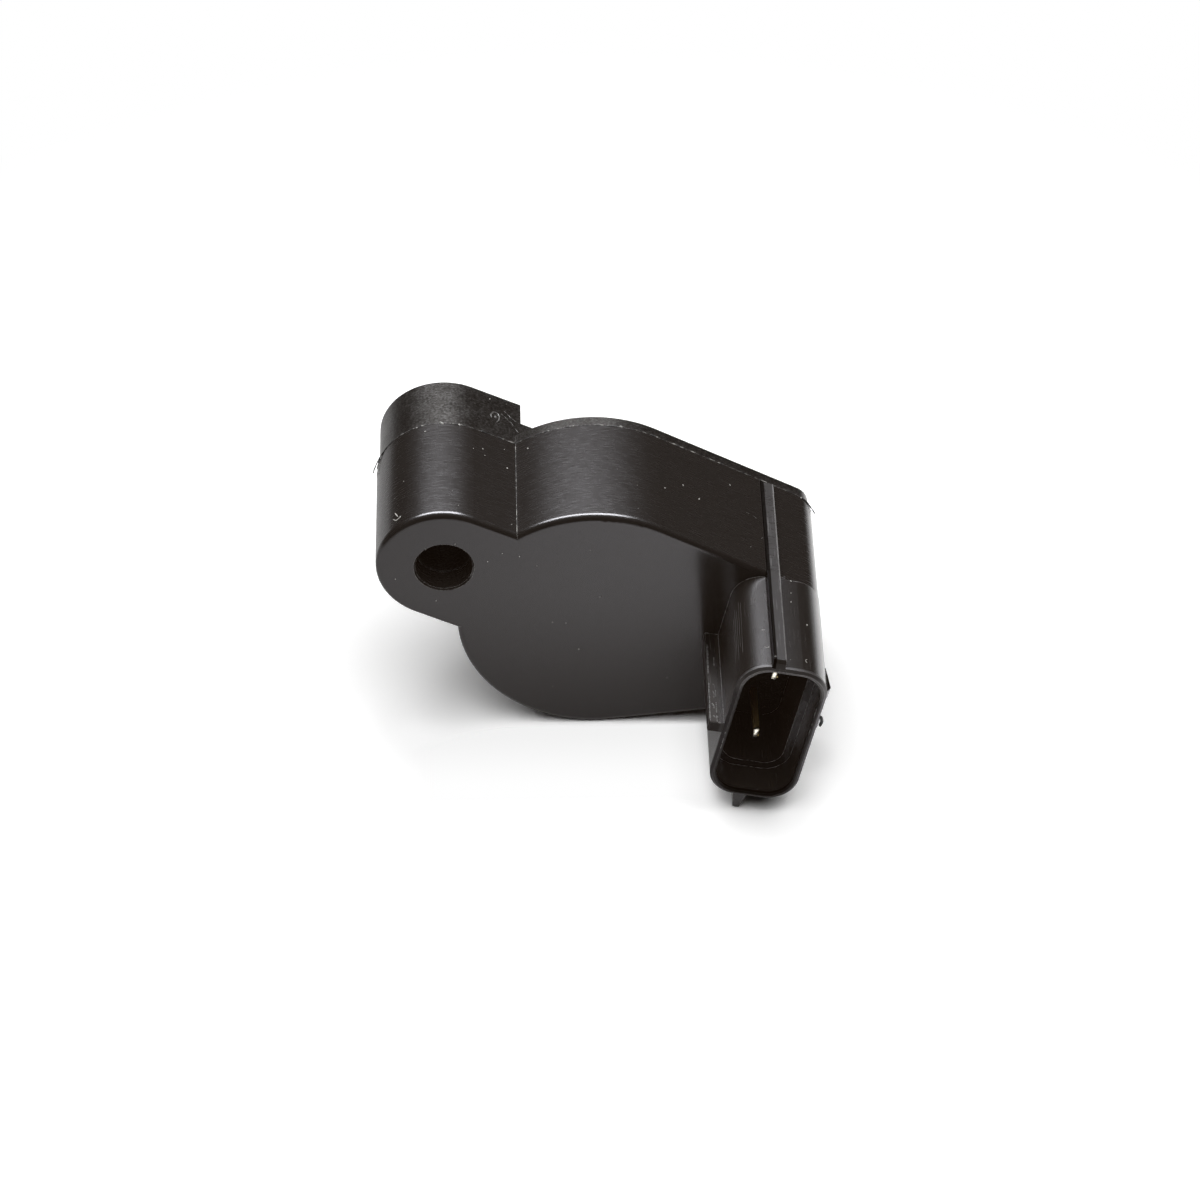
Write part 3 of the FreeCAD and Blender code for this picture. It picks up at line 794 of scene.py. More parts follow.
class Scraps:
    """Gathers lumps and strands into one mesh object."""

    def __init__(self, name: str, seed: int) -> None:
        """Starts an empty heap.

        Args:
            name: name of the object to make.
            seed: start of its random choices.
        """
        self.name = name
        self.chance = random.Random(seed)
        self.points: list[Vector] = []
        self.faces: list[tuple[int, ...]] = []

    def loops(self, rings: list[list[Vector]], start: Vector | None, end: Vector) -> None:
        """Joins rings of points into a closed skin.

        Args:
            rings: rings with the same number of points.
            start: point that closes the first ring; None leaves it open below the surface.
            end: point that closes the last ring.
        """
        base, sides = len(self.points), len(rings[0])
        for ring in rings:
            self.points += ring
        for r in range(len(rings) - 1):
            for s in range(sides):
                a, b = base + r * sides + s, base + r * sides + (s + 1) % sides
                self.faces.append((a, b, b + sides, a + sides))
        last = base + (len(rings) - 1) * sides
        self.points.append(end)
        tip = len(self.points) - 1
        self.faces += [(last + s, last + (s + 1) % sides, tip) for s in range(sides)]
        if start is not None:
            self.points.append(start)
            foot = len(self.points) - 1
            self.faces += [(base + (s + 1) % sides, base + s, foot) for s in range(sides)]

    def lump(self, skin: Skin, where: Point, across: float, height: float, stretch: float,
             turn: float) -> None:
        """Adds one uneven lump that stands on the surface.

        Args:
            skin: surface it stands on.
            where: its place in millimetres.
            across: width in millimetres.
            height: height over the surface in millimetres.
            stretch: length as a multiple of the width.
            turn: direction of the length, in degrees.
        """
        place, normal = skin.nearest(millimetres(where))
        side = normal.orthogonal().normalized()
        side = Matrix.Rotation(math.radians(turn), 3, normal) @ side
        other = normal.cross(side)
        sides = 9
        uneven = [self.chance.uniform(0.72, 1.1) for _ in range(sides)]
        rings = []
        for share, level in ((0.9, -0.3), (1.0, 0.1), (0.86, 0.55), (0.5, 0.9)):
            ring = []
            for s in range(sides):
                angle = 2 * math.pi * s / sides
                reach = across / 2 * MM * share * uneven[s]
                flat = side * math.cos(angle) * reach * stretch + other * math.sin(angle) * reach
                ring.append(place + flat + normal * height * level * MM)
            rings.append(ring)
        self.loops(rings, place - normal * 0.4 * height * MM, place + normal * height * MM)

    def strand(self, line: list[Vector], thick: float, fray: float) -> None:
        """Adds a thin strand along a line, with pointed ends.

        Args:
            line: its middle line.
            thick: diameter in millimetres.
            fray: how much the diameter varies.
        """
        sides, count = 5, len(line)
        if count < 3:
            return
        rings = []
        for i in range(1, count - 1):
            along = (line[i + 1] - line[i - 1]).normalized()
            side = along.orthogonal().normalized()
            other = along.cross(side)
            reach = thick / 2 * MM * self.chance.uniform(1 - fray, 1 + fray)
            turns = [2 * math.pi * s / sides for s in range(sides)]
            rings.append([line[i] + (side * math.cos(t) + other * math.sin(t)) * reach for t in turns])
        self.loops(rings, line[0], line[-1])

    def place(self, material: Material, slot: Slot | None = None) -> bpy.types.Object:
        """Makes the object and fixes it to the part.

        Args:
            material: its finish.
            slot: not used.

        Returns:
            The object.
        """
        mesh = bpy.data.meshes.new(self.name)
        mesh.from_pydata(self.points, [], self.faces)
        mesh.materials.append(material)
        mesh.shade_smooth()
        made = bpy.data.objects.new(self.name, mesh)
        bpy.context.scene.collection.objects.link(made)
        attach(made, "root")
        LOG.info("%s: %d faces", self.name, len(self.faces))
        return made


@dataclass
class SeamFlash:
    """Joint compound and mould flash along the seam, and the lines of flash in the ear's notches."""

    middle: Point = (12.0, 0.0, -6.0)
    depth: float = -8.13
    count: int = 1500
    dash: Range = (0.35, 2.2)
    gap: Range = (0.12, 0.8)
    thick: Range = (0.08, 0.17)
    droplets: tuple[tuple[Point, float, float], ...] = (
        ((-0.11, -8.2, 7.74), 0.34, 2.0),
        ((20.44, -8.12, 6.77), 0.26, 1.6),
        ((39.2, -7.9, -3.26), 0.26, 1.6),
        ((41.4, -8.3, -4.15), 0.22, 1.1),
        ((1.9, -8.2, 7.5), 0.16, 2.4),
        ((-3.0, -8.2, 7.15), 0.16, 1.8),
    )
    droplet_rise: float = 0.55
    notches: tuple[tuple[Point, Point], ...] = (
        ((8.305, -8.4, 4.512), (8.305, -23.9, 4.512)),
        ((1.373, -8.4, -9.352), (1.373, -23.9, -9.352)),
    )
    notch_thick: float = 0.075
    fins: tuple[tuple[Point, ...], ...] = (
        ((-5.6, -8.1, 5.4), (-6.6, -8.12, 4.1), (-7.3, -8.16, 2.9), (-7.75, -8.3, 1.95),
         (-8.05, -8.5, 1.25), (-8.2, -8.7, 0.8)),
        ((41.1, -8.2, -3.95), (41.75, -8.25, -4.35), (42.25, -8.4, -4.95), (42.75, -8.6, -5.7),
         (43.1, -8.75, -6.3)),
    )
    fin_thick: float = 0.12
    catch_burr: tuple[Point, ...] = (
        (41.9, -38.9, -10.30), (42.2, -38.9, -10.75), (42.26, -38.9, -11.30), (42.0, -38.9, -12.1))
    burr_thick: float = 0.38
    compound: SealantBead = SealantBead("seam_smears")
    droplet: MattGrain = MattGrain(
        "set_droplet", (0.30, 0.29, 0.275), (0.42, 0.41, 0.39), 0.32)
    burr: MattGrain = MattGrain(
        "flash_plastic", (0.006, 0.005, 0.005), (0.010, 0.009, 0.008), 0.55, dust_share=0.0)

    def build(self) -> None:
        """Lays the dashes, droplets and notch lines."""
        housing = Skin("front_housing")
        seam = Scraps("seam_smear", 7)
        ring = housing.outline(self.middle, self.depth, self.count)
        ring.append(ring[0])
        walked, limit, line = 0.0, 0.5, []
        for before, here in zip(ring, ring[1:]):
            walked += (here - before).length / MM
            if walked < limit:
                line.append(here)
                continue
            seam.strand(line, seam.chance.uniform(*self.thick), 0.4)
            line = []
            if walked > limit + seam.chance.uniform(*self.gap):
                walked, limit = 0.0, seam.chance.uniform(*self.dash)
        for ends in self.notches:
            seam.strand(housing.trace(list(ends), 0.25), self.notch_thick, 0.35)
        seam.place(self.compound.material(), Slot.SEALANT)
        drops = Scraps("seam_droplet", 2)
        for where, across, stretch in self.droplets:
            drops.lump(housing, where, across, across * self.droplet_rise, stretch, 90.0)
        drops.place(self.droplet.material(), Slot.SEALANT)

    def fringe(self) -> None:
        """Adds the two loose fins of flash and the burr at the lower catch."""
        loose = Scraps("flash_fin", 3)
        for points in self.fins:
            loose.strand(chain(points, 5), self.fin_thick, 0.3)
        loose.strand(chain(self.catch_burr, 3), self.burr_thick, 0.1)
        loose.place(self.burr.material(), Slot.HOUSING)


@dataclass
class WallMarks:
    """Specks, fibres, scratches and the blister that the photograph shows on the walls."""

    specks: tuple[tuple[Point, float], ...] = (
        ((25.21, -16.82, 4.84), 0.20), ((27.34, -14.94, 3.66), 0.22), ((29.13, -16.28, 2.67), 0.26),
        ((32.92, -11.39, 0.57), 0.16), ((-2.02, -9.27, 7.48), 0.22), ((3.48, -11.78, 6.92), 0.15),
        ((4.56, -11.23, 6.39), 0.20), ((4.76, -12.26, 6.29), 0.13), ((7.03, -9.88, 5.15), 0.16),
        ((7.31, -13.08, 5.01), 0.24), ((9.70, -10.01, 5.34), 0.26), ((-4.46, -16.73, 6.34), 0.15),
        ((1.80, -22.51, 7.53), 0.13), ((7.74, -22.74, 4.80), 0.14), ((1.30, -24.45, 3.51), 0.16),
        ((-1.98, -24.45, 2.84), 0.11), ((4.94, -24.45, 0.78), 0.14), ((8.55, -24.45, 1.47), 0.17),
        ((6.60, -24.45, 1.97), 0.13), ((-5.55, -24.45, -1.62), 0.13), ((-1.00, -24.45, -4.98), 0.17),
        ((10.51, -24.45, 0.03), 0.12), ((17.64, -24.45, -4.79), 0.14), ((15.22, -24.45, -12.7), 0.12),
        ((13.75, -24.45, -8.67), 0.11), ((39.33, -24.52, -2.77), 0.20), ((39.22, -26.60, -2.75), 0.15),
        ((39.14, -28.16, -2.73), 0.17), ((40.77, -31.55, -3.23), 0.26), ((5.41, -1.25, 5.62), 0.18),
    )
    speck_scale: float = 0.8
    speck_rise: float = 0.4
    fibres: tuple[tuple[Point, ...], ...] = (
        ((-5.41, -21.35, 5.55), (-5.23, -21.86, 5.71), (-5.06, -22.33, 5.86)),
        ((-5.61, -22.16, 5.34), (-5.29, -22.80, 5.66), (-5.05, -22.75, 5.87), (-4.81, -22.68, 6.07),
         (-4.79, -22.45, 6.09)),
    )
    curls: tuple[tuple[Point, float, float, float], ...] = (
        ((35.98, -36.2, -2.14), 0.26, 100.0, 260.0),
        ((40.5, -37.75, -3.15), 0.28, 190.0, 350.0),
        ((35.7, -33.3, -2.15), 0.2, 130.0, 230.0),
    )
    fibre_thick: float = 0.11
    curl_thick: float = 0.045
    scratches: tuple[tuple[tuple[Point, ...], float], ...] = (
        (((33.90, -15.40, 0.03), (34.84, -15.16, -0.49), (35.64, -15.36, -0.94),
          (36.08, -15.97, -1.18)), 0.05),
        (((34.66, -21.42, -0.39), (35.16, -20.59, -0.67), (35.67, -19.57, -0.95),
          (36.54, -18.33, -1.44)), 0.06),
        (((7.04, -2.49, 4.81), (7.83, -3.31, 4.41), (8.75, -3.86, 3.95)), 0.06),
        (((7.48, -4.43, 4.59), (8.30, -4.75, 4.18), (9.08, -5.13, 3.79)), 0.06),
        (((6.70, -3.10, 4.98), (7.90, -4.35, 4.38), (8.70, -5.60, 3.98)), 0.05),
        (((29.84, -26.5, -10.52), (29.75, -33.0, -10.50), (29.66, -39.3, -10.50)), 0.17),
        (((30.50, -28.0, -10.68), (30.46, -33.5, -10.67), (30.44, -39.3, -10.66)), 0.11),
        (((29.75, -39.38, -10.52), (30.25, -39.42, -10.62), (30.85, -39.38, -10.76)), 0.32),
        (((29.95, -36.3, -10.56), (30.20, -36.8, -10.62), (30.10, -37.6, -10.60)), 0.18),
        (((30.00, -38.4, -10.57), (30.35, -38.7, -10.65), (30.62, -38.5, -10.71)), 0.20),
        (((30.20, -33.0, -10.61), (30.32, -33.3, -10.64), (30.28, -33.8, -10.63)), 0.12),
        (((31.35, -39.95, -11.6), (31.10, -39.95, -13.0), (30.80, -39.95, -14.4)), 0.09),
        (((33.30, -39.95, -4.6), (33.95, -39.95, -3.9), (34.9, -39.95, -3.45)), 0.09),
        (((41.30, -39.95, -8.4), (40.95, -39.95, -10.6), (40.55, -39.95, -12.8)), 0.08),
        (((30.15, -34.2, -10.60), (30.30, -34.9, -10.64), (30.22, -35.4, -10.62)), 0.11),
        (((36.62, -38.70, -1.42), (37.20, -38.74, -1.55), (37.90, -38.70, -1.70)), 0.14),
    )
    scratch_skip: float = 0.34
    drags: tuple[tuple[Point, ...], ...] = (
        ((33.46, -27.6, -3.15), (33.40, -31.5, -3.20), (33.34, -36.0, -3.30)),
        ((33.22, -27.2, -3.40), (33.17, -31.0, -3.48), (33.12, -34.8, -3.55)),
        ((33.00, -28.3, -3.72), (32.95, -32.0, -3.80), (32.90, -36.6, -3.90)),
        ((32.80, -27.8, -4.08), (32.76, -31.6, -4.15), (32.71, -35.2, -4.25)),
        ((32.62, -28.8, -4.50), (32.58, -32.4, -4.60), (32.54, -36.2, -4.70)),
    )
    drag_thick: float = 0.013
    blister: tuple[Point, ...] = (
        (5.60, -4.60, 5.53), (5.52, -4.00, 5.57), (5.80, -3.40, 5.43), (6.25, -3.35, 5.20),
        (6.50, -3.90, 5.08), (6.42, -4.60, 5.12), (6.15, -5.05, 5.25),
    )
    blister_thick: float = 0.17
    blister_middle: Point = (6.05, -4.15, 5.3)
    blister_lump: Ramp = (0.36, 0.07, 1.4, 40.0)
    dust: MattGrain = MattGrain(
        "speck_dust", (0.58, 0.56, 0.52), (0.72, 0.70, 0.66), 0.5)
    scar: MattGrain = MattGrain(
        "rubbed_scar", (0.07, 0.066, 0.062), (0.16, 0.152, 0.145), 0.36)

    def build(self) -> None:
        """Lays the marks on both mouldings."""
        skin = Skin("front_housing", "rear_base")
        dust = Scraps("wall_speck", 11)
        for where, across in self.specks:
            stretch = dust.chance.choice((1.0, 1.3, 1.8, 2.6))
            size = across * self.speck_scale / stretch ** 0.5
            dust.lump(skin, where, size, size * self.speck_rise, stretch, dust.chance.uniform(0, 180))
        for points in self.fibres:
            dust.strand(skin.trace(list(points), 0.08), self.fibre_thick, 0.25)
        for middle, radius, start, end in self.curls:
            turns = [math.radians(start + (end - start) * i / 12) for i in range(13)]
            x, y, z = middle
            bow = [(x + radius * math.sin(t), y + radius * math.cos(t), z) for t in turns]
            dust.strand(skin.trace(bow, 0.2), self.curl_thick, 0.3)
        dust.place(self.dust.material())
        scars = Scraps("wall_scar", 5)
        for points, thick in self.scratches:
            line = skin.trace(list(points), 0.06)
            while line:
                count = scars.chance.randint(4, 16)
                if scars.chance.random() > self.scratch_skip:
                    scars.strand(line[:count], thick, 0.4)
                line = line[count:]
        for points in self.drags:
            scars.strand(skin.trace(list(points), 0.25), self.drag_thick, 0.2)
        scars.strand(skin.trace(list(self.blister), 0.08), self.blister_thick, 0.2)
        scars.lump(skin, self.blister_middle, *self.blister_lump)
        scars.place(self.scar.material(), Slot.BASE)


@dataclass
class Housing:
    """Front moulding with its ear, socket and ribs."""

    node: str = "front_housing"
    finish: MouldedPlastic = MouldedPlastic("housing_plastic")
    flash: SeamFlash = field(default_factory=SeamFlash)
    marks: WallMarks = field(default_factory=WallMarks)

    def build(self) -> None:
        """Dresses the moulding and lays its flash and marks."""
        dress(self.node, self.finish.material())
        self.flash.build()
        self.flash.fringe()
        self.marks.build()


@dataclass
class RearBase:
    """Rear moulding and the joint compound between the two mouldings."""

    node: str = "rear_base"
    bead: str = "seam_bead"
    finish: SparkTexture = SparkTexture("base_plastic")
    compound: SealantBead = SealantBead("joint_compound")

    def build(self) -> None:
        """Dresses the base and its bead."""
        dress(self.node, self.finish.material())
        dress(self.bead, self.compound.material())


@dataclass
class PickupNose:
    """Sealing ring, pole piece and magnet."""

    ring: MattGrain = MattGrain("ring_rubber", (0.016, 0.015, 0.014), (0.024, 0.022, 0.02), 0.52)
    steel: DrawnMetal = DrawnMetal(
        "pole_steel", (0.52, 0.51, 0.49), (0.30, 0.28, 0.25), 0.34, (0.06, 2.0, 0.06))
    ferrite: MattGrain = MattGrain("magnet_ferrite", (0.035, 0.034, 0.034), (0.055, 0.053, 0.052), 0.62)

    def build(self) -> None:
        """Dresses the nose's pieces."""
        dress("nose_ring", self.ring.material())
        dress("pole_piece", self.steel.material())
        dress("bias_magnet", self.ferrite.material())


@dataclass
class PickupCoil:
    """Bobbin, winding and coil posts inside the shell."""

    bobbin: MattGrain = MattGrain("bobbin_plastic", (0.36, 0.31, 0.22), (0.43, 0.38, 0.28), 0.48)
    wire: EnamelledWire = EnamelledWire("copper_wire")
    posts: DrawnMetal = DrawnMetal("tinned_post", (0.70, 0.68, 0.62), (0.42, 0.38, 0.30), 0.3)

    def build(self) -> None:
        """Dresses the coil's pieces."""
        dress("coil_bobbin", self.bobbin.material())
        dress("coil_winding", self.wire.material())
        posts = self.posts.material()
        dress("upper_coil_post", posts)
        dress("lower_coil_post", posts)


@dataclass
class PlugPins:
    """Two terminals in the socket."""

    # The brass carries a faint painted glow, which lifts the pins' dark bodies.
    brass: DrawnMetal = DrawnMetal(
        "terminal_brass", (0.34, 0.25, 0.10), (0.26, 0.18, 0.07), 0.38, (0.5, 4.0, 0.5),
        tarnish_share=0.25, metal=0.45, painted_glow=0.0035)
    # Painted highlight: near-white tin nibs, sized so that the pin tips show bright.
    tin_highlight: DrawnMetal = DrawnMetal(
        "tinned_nib_highlight", (0.95, 0.90, 0.78), (0.80, 0.70, 0.50), 0.30, (0.5, 0.5, 4.0), tarnish_share=0.2)
    tips: tuple[Point, ...] = ((37.163, -35.15, -7.737), (35.199, -35.15, -16.663))
    nib_half: Range = (0.30, 0.72)
    nib_thick: float = 0.34
    nib_shift: Range = (-0.16, 0.24)
    nib_proud: float = 0.02
    nib_sides: int = 16
    nib_square: float = 0.3
    nib_sections: tuple[Range, ...] = ((0.82, 0.0), (1.0, 0.12), (1.0, 0.7), (0.86, 0.94))

    def flatten(self, share: float) -> float:
        """Pushes a point of a circle out towards a square with round corners."""
        return math.copysign(abs(share) ** self.nib_square, share)

    def build(self) -> None:
        """Dresses the terminals and sets the blunt tinned nibs on their ends; their near-white tin paints the
        tips' highlight.
        """
        brass = self.brass.material()
        dress("upper_terminal", brass)
        dress("lower_terminal", brass)
        nibs = Scraps("terminal_nib", 1)
        tilt = math.radians(SOCKET_TILT)
        right = Vector((math.cos(tilt), 0.0, -math.sin(tilt)))
        up = Vector((math.sin(tilt), 0.0, math.cos(tilt)))
        for tip in self.tips:
            foot = millimetres(tip) + (right * self.nib_shift[0] + up * self.nib_shift[1]) * MM
            foot.y += (self.nib_thick - self.nib_proud) * MM
            rings = []
            for share, ahead in self.nib_sections:
                base = foot - Vector((0.0, ahead * self.nib_thick * MM, 0.0))
                turns = [2 * math.pi * (s + 0.5) / self.nib_sides for s in range(self.nib_sides)]
                rings.append([base + (right * self.flatten(math.cos(t)) * self.nib_half[0]
                                      + up * self.flatten(math.sin(t)) * self.nib_half[1]) * share * MM
                              for t in turns])
            nibs.loops(rings, foot, foot - Vector((0.0, self.nib_thick * MM, 0.0)))
        nibs.place(self.tin_highlight.material(), Slot.BRASS)


@dataclass
class Studio:
    """Pale floor, two soft light panels overhead, dark cards round about and the camera.

    The floor's level is the imported part's lowest point, in metres; other lengths are in millimetres.
    """

    floor_level: float
    floor_side: Range = (-120.0, 300.0)
    floor_depth: float = 200.0
    floor_tone: float = 0.86
    # Painted light and shade on the floor, for the camera: the lift values brighten it near the part, the
    # cover values darken it where the part covers it and brighten it in the open.
    lift_middle: Range = (20.0, -38.0)
    lift_near: float = 8.0
    lift_far: float = 33.0
    lift_most: float = 1.6
    lift_least: float = 1.19
    cover_reach: float = 12.0
    cover_range: Range = (0.1, 0.52)
    cover_lift: Range = (0.54, 1.24)
    # Painted shadows on the floor: x, y, reach and the share of brightness kept at each patch's core.
    painted_shadow_patches: tuple[Ramp, ...] = (
        (36.5, -37.5, 3.5, 0.66),
        (36.0, -41.0, 10.0, 0.80),
        (3.5, -20.6, 9.0, 0.87),
        (41.5, -30.5, 4.0, 0.88),
        (-3.5, -26.0, 9.0, 0.90),
    )
    patch_core: float = 0.3
    # Painted light: a glowing strip in front of the part hides its shadow there for the camera, with painted
    # shade towards the part and the shroud.
    apron_edge: float = -24.3
    apron_blur: Ramp = (-14.0, 8.0, 9.0, 0.9)
    apron_left: Range = (-10.0, -2.0)
    apron_right: Range = (31.5, 28.5)
    apron_end: Range = (-42.0, -37.0)
    apron_tone: Ramp = (-24.5, -36.0, 0.885, 1.0)
    apron_side: Ramp = (24.5, 30.5, 1.0, 0.86)
    # Painted reflection: the floor the gloss mirrors is brighter further in front, darker on the left and
    # much brighter on the right.
    mirror_range: Range = (-25.0, -50.0)
    mirror_lift: Range = (1.0, 1.60)
    mirror_left: Range = (-14.0, 30.0)
    mirror_left_lift: Range = (0.70, 1.08)
    mirror_right: Range = (41.0, 50.0)
    mirror_right_lift: float = 2.0
    # Painted reflection: the far floor glows dimmer on the left where the gloss mirrors it.
    glow_range: Range = (-60.0, -20.0)
    glow_left: float = 0.7
    plain_range: Range = (70.0, 130.0)
    middle: Range = (17.0, -17.0)
    light_height: float = 600.0
    gloss_height: float = 580.0
    fill_reach: Range = (-540.0, 745.0)
    fill_side: Range = (-640.0, 640.0)
    fill_radiance: float = 2.0
    gloss_reach: Range = (97.0, 430.0)
    gloss_side: Range = (-455.0, 226.0)
    gloss_radiance: float = 28.0
    gloss_turn: float = -8.0
    gloss_tint: Colour = (0.965, 0.98, 1.0)
    tent_half: float = 1500.0
    tent_gap: float = 2.0
    tent_over: float = 20.0
    tent_colour: Colour = (0.05, 0.05, 0.05)
    world_light: Colour = (0.2, 0.2, 0.2)
    eye: Point = (7.89019, -434.3585, 356.09136)
    eye_down: float = 41.38852
    eye_turn: float = 1.362176
    focal_length: float = 144.037

    def build(self) -> None:
        """Sets the whole stage."""
        self.floor()
        self.light()
        self.tent()
        self.world()
        self.camera()

    @staticmethod
    def sheet(name: str, corners: list[Point], material: Material) -> bpy.types.Object:
        """Makes one flat stage sheet.

        Args:
            name: name of the object.
            corners: corners in metres, in order.
            material: its material.

        Returns:
            The object, marked as stage.
        """
        mesh = bpy.data.meshes.new(name)
        mesh.from_pydata(corners, [], [tuple(range(len(corners)))])
        mesh.materials.append(material)
        made = bpy.data.objects.new(name, mesh)
        bpy.context.scene.collection.objects.link(made)
        made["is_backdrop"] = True
        return made

    def floor(self) -> None:
        """Lays the pale floor: it keeps the shadow near the part, with painted light, painted shadows and
        painted reflection laid over it by place, and turns plain white further out.
        """
        material, desk = empty_material("pale_floor")
        here = desk.add("TexCoord").outputs["Object"]
        limits = (self.plain_range, self.mirror_range, self.mirror_left, self.mirror_right, self.glow_range)
        outer, front, left, right, glow_range = ([limit * MM for limit in pair] for pair in limits)
        far = desk.span(self.away(desk, here, *self.middle), *outer)
        path = desk.add("LightPath")
        eye = path.outputs["Is Camera Ray"]
        mirror = desk.most(path.outputs["Is Glossy Ray"], path.outputs["Is Transmission Ray"])
        seen = desk.most(eye, mirror)
        # Painted light near the part and painted shade where the part covers the floor, for the camera.
        aside = self.away(desk, here, *self.lift_middle)
        lift = desk.span(aside, self.lift_near * MM, self.lift_far * MM, self.lift_most, self.lift_least)
        cover = desk.add("AmbientOcclusion", {"Distance": self.cover_reach * MM}, samples=4).outputs["AO"]
        lift = desk.times(lift, desk.span(cover, *self.cover_range, *self.cover_lift))
        # Painted shadows: darker spots on the floor under and beside the part.
        for x, y, reach, share in self.painted_shadow_patches:
            patch = self.away(desk, here, x, y)
            core = self.patch_core * reach
            lift = desk.times(lift, desk.span(patch, core * MM, reach * MM, share, 1.0))
        axes = desk.add("SeparateXYZ", {0: here})
        # Painted reflection: the floor is brighter or darker by place where the part's gloss mirrors it.
        shine = desk.span(axes.outputs[1], *front, *self.mirror_lift)
        shine = desk.times(shine, desk.span(axes.outputs[0], *left, *self.mirror_left_lift))
        beside = desk.span(axes.outputs[0], *right)
        shine = desk.mix(beside, shine, self.mirror_right_lift)
        plain = desk.mix(eye, 1.0, lift)
        plain = desk.mix(mirror, plain, shine)
        plain = desk.times(plain, self.floor_tone)
        paint = desk.add("BsdfDiffuse", {"Color": desk.triple(plain)})
        # Painted reflection: the far glow is dimmer on the left for mirrored rays.
        aside = desk.span(axes.outputs[0], *glow_range, self.glow_left, 1.0)
        glow = desk.add("Emission", {"Color": WHITE, "Strength": desk.mix(mirror, 1.0, aside)})
        mixed = desk.add("MixShader", {0: desk.times(far, seen), 1: paint.outputs[0], 2: glow.outputs[0]})
        output = desk.add("OutputMaterial")
        desk.feed(output.inputs["Surface"], self.apron(desk, axes, eye, mixed))
        left, right = (limit * MM for limit in self.floor_side)
        reach, level = self.floor_depth * MM, self.floor_level
        corners = [(left, -reach, level), (right, -reach, level), (right, reach, level), (left, reach, level)]
        self.sheet("floor", corners, material)

    def away(self, desk: NodeDesk, here: Socket, x: float, y: float) -> Socket:
        """Distance from a place on the floor.

        Args:
            desk: node tree of the floor.
            here: where the shading is.
            x: place to the right, in millimetres.
            y: place to the back, in millimetres.

        Returns:
            The distance in metres.
        """
        spot = millimetres((x, y, self.floor_level / MM))
        return desk.vector("DISTANCE", here, spot).outputs["Value"]

    def apron(self, desk: NodeDesk, axes: Node, eye: Socket, under: Node) -> Socket:
        """Lays a glowing strip of painted light on the floor in front of the part, over the shadowed floor.

        Args:
            desk: node tree of the floor.
            axes: place on the floor, split into axes.
            eye: 1 for what the camera sees.
            under: shader of the shadowed floor.

        Returns:
            The floor's shader.
        """
        x = desk.math("DIVIDE", axes.outputs[0], MM)
        y = desk.math("DIVIDE", axes.outputs[1], MM)
        ahead = desk.math("DIVIDE", desk.minus(self.apron_edge, y), desk.span(x, *self.apron_blur))
        share = desk.times(desk.span(ahead, 0.0, 1.0), desk.span(x, *self.apron_right))
        share = desk.times(share, desk.span(x, *self.apron_left))
        share = desk.times(share, desk.span(y, *self.apron_end))
        # Painted shade: the strip is darker next to the part and towards the shroud.
        tone = desk.times(desk.span(y, *self.apron_tone), desk.span(x, *self.apron_side))
        glow = desk.add("Emission", {"Color": WHITE, "Strength": tone})
        over = desk.add("MixShader", {0: desk.times(share, eye), 1: under.outputs[0], 2: glow.outputs[0]})
        return over.outputs[0]

    def light(self) -> None:
        """Hangs the soft light over the part: a broad panel sets the level, a bright one the gloss."""
        fill = self.panel("fill_panel", self.light_height, self.fill_reach, self.fill_side,
                          self.fill_radiance, 0.0)
        fill.visible_glossy = False
        gloss = self.panel("gloss_panel", self.gloss_height, self.gloss_reach, self.gloss_side,
                           self.gloss_radiance, self.gloss_turn)
        gloss.visible_diffuse = False
        gloss.data.color = self.gloss_tint

    def panel(self, name: str, height: float, reach: Range, side: Range,
              radiance: float, turn: float) -> bpy.types.Object:
        """Hangs one light panel over the part.

        Args:
            name: name of the lamp.
            height: height over the bolt hole, in millimetres.
            reach: front and back edge, in millimetres behind the bolt hole.
            side: left and right edge, in millimetres from the middle.
            radiance: brightness of the panel.
            turn: turn about the vertical, in degrees.

        Returns:
            The lamp's object, which the camera doesn't see.
        """
        front, back = reach
        left, right = side
        lamp = bpy.data.lights.new(name, "AREA")
        lamp.shape = "RECTANGLE"
        lamp.size = (right - left) * MM
        lamp.size_y = (back - front) * MM
        lamp.energy = radiance * math.pi * lamp.size * lamp.size_y
        spin = Matrix.Rotation(math.radians(turn), 3, "Z")
        made = bpy.data.objects.new(name, lamp)
        centre = millimetres((self.middle[0], 0.0, height))
        made.location = centre + spin @ millimetres(((left + right) / 2, (front + back) / 2, 0.0))
        made.rotation_euler = spin.to_euler()
        made.visible_camera = False
        bpy.context.scene.collection.objects.link(made)
        return made

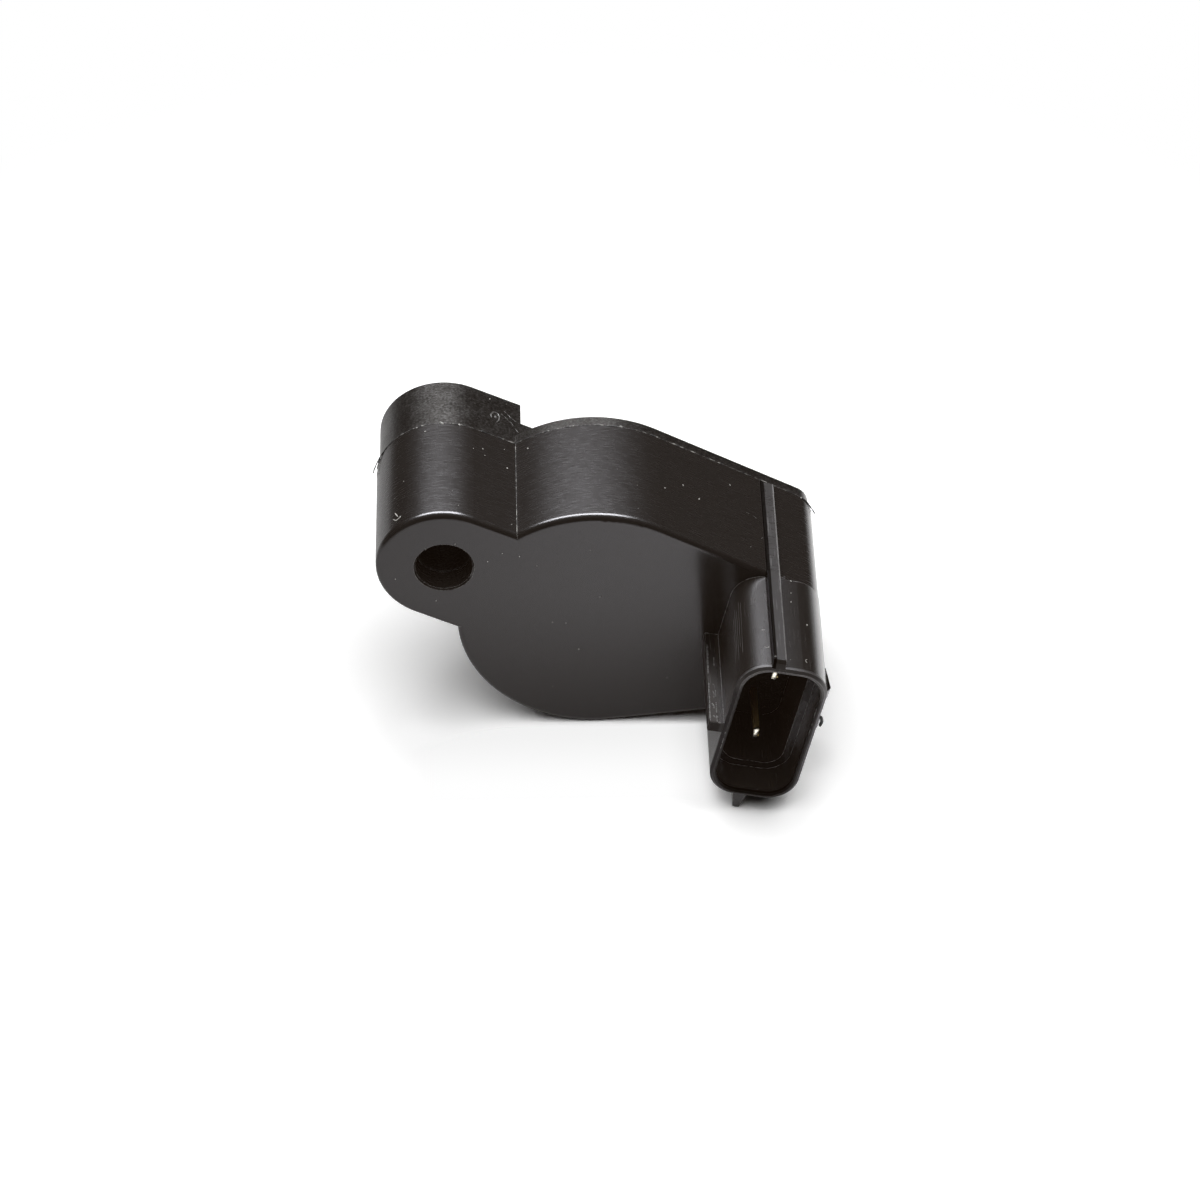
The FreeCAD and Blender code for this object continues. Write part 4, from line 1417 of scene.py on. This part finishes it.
    def tent(self) -> None:
        """Stands dark cards round the part, which its gloss mirrors and the camera doesn't see."""
        material, desk = empty_material("dark_card")
        card = desk.add("BsdfDiffuse", {"Color": self.tent_colour})
        desk.feed(desk.add("OutputMaterial").inputs["Surface"], card.outputs[0])
        half, gap = self.tent_half * MM, self.tent_gap * MM
        low, high = self.floor_level + gap, (self.light_height + self.tent_over) * MM
        ring = [(-half, -half), (half, -half), (half, half), (-half, half)]
        sides = zip(ring, ring[1:] + ring[:1])
        cards = {f"card_{i}": [(*a, low), (*b, low), (*b, high), (*a, high)]
                 for i, (a, b) in enumerate(sides)}
        cards["card_top"] = [(*corner, high) for corner in ring]
        cards["card_ground"] = [(*corner, self.floor_level - gap) for corner in ring]
        for name, corners in cards.items():
            self.sheet(name, corners, material).visible_camera = False

    def world(self) -> None:
        """Makes the surroundings plain white to the eye and faint as a light."""
        world = bpy.data.worlds.new("surroundings")
        bpy.context.scene.world = world
        world.use_nodes = True
        world.node_tree.nodes.clear()
        desk = NodeDesk(world.node_tree)
        path = desk.add("LightPath")
        seen = desk.most(path.outputs["Is Camera Ray"], path.outputs["Is Glossy Ray"])
        seen = desk.most(seen, path.outputs["Is Transmission Ray"])
        colour = desk.blend(seen, self.world_light, WHITE)
        back = desk.add("Background", {"Color": colour, "Strength": 1.0})
        desk.feed(desk.add("OutputWorld").inputs["Surface"], back.outputs[0])

    def camera(self) -> None:
        """Places the camera at the photograph's viewing angle."""
        lens = bpy.data.cameras.new("camera")
        lens.sensor_width = 36.0
        lens.lens = self.focal_length
        lens.clip_start = 0.01
        down, turn = math.radians(self.eye_down), math.radians(self.eye_turn)
        ahead = Vector((math.sin(turn) * math.cos(down), math.cos(turn) * math.cos(down), -math.sin(down)))
        made = bpy.data.objects.new("camera", lens)
        made.location = millimetres(self.eye)
        made.rotation_mode = "QUATERNION"
        made.rotation_quaternion = ahead.to_track_quat("-Z", "Y")
        bpy.context.scene.collection.objects.link(made)
        bpy.context.scene.camera = made


def main() -> None:
    """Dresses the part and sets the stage."""
    logging.basicConfig(level=logging.INFO, format="%(name)s: %(message)s")
    cad_low, cad_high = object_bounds()
    for assembly in (Housing(), RearBase(), PickupNose(), PickupCoil(), PlugPins()):
        assembly.build()
    Studio(floor_level=cad_low.z).build()
    bpy.context.scene.view_settings.view_transform = "Standard"
    LOG.info("boxes written")


if __name__ == "__main__":
    main()
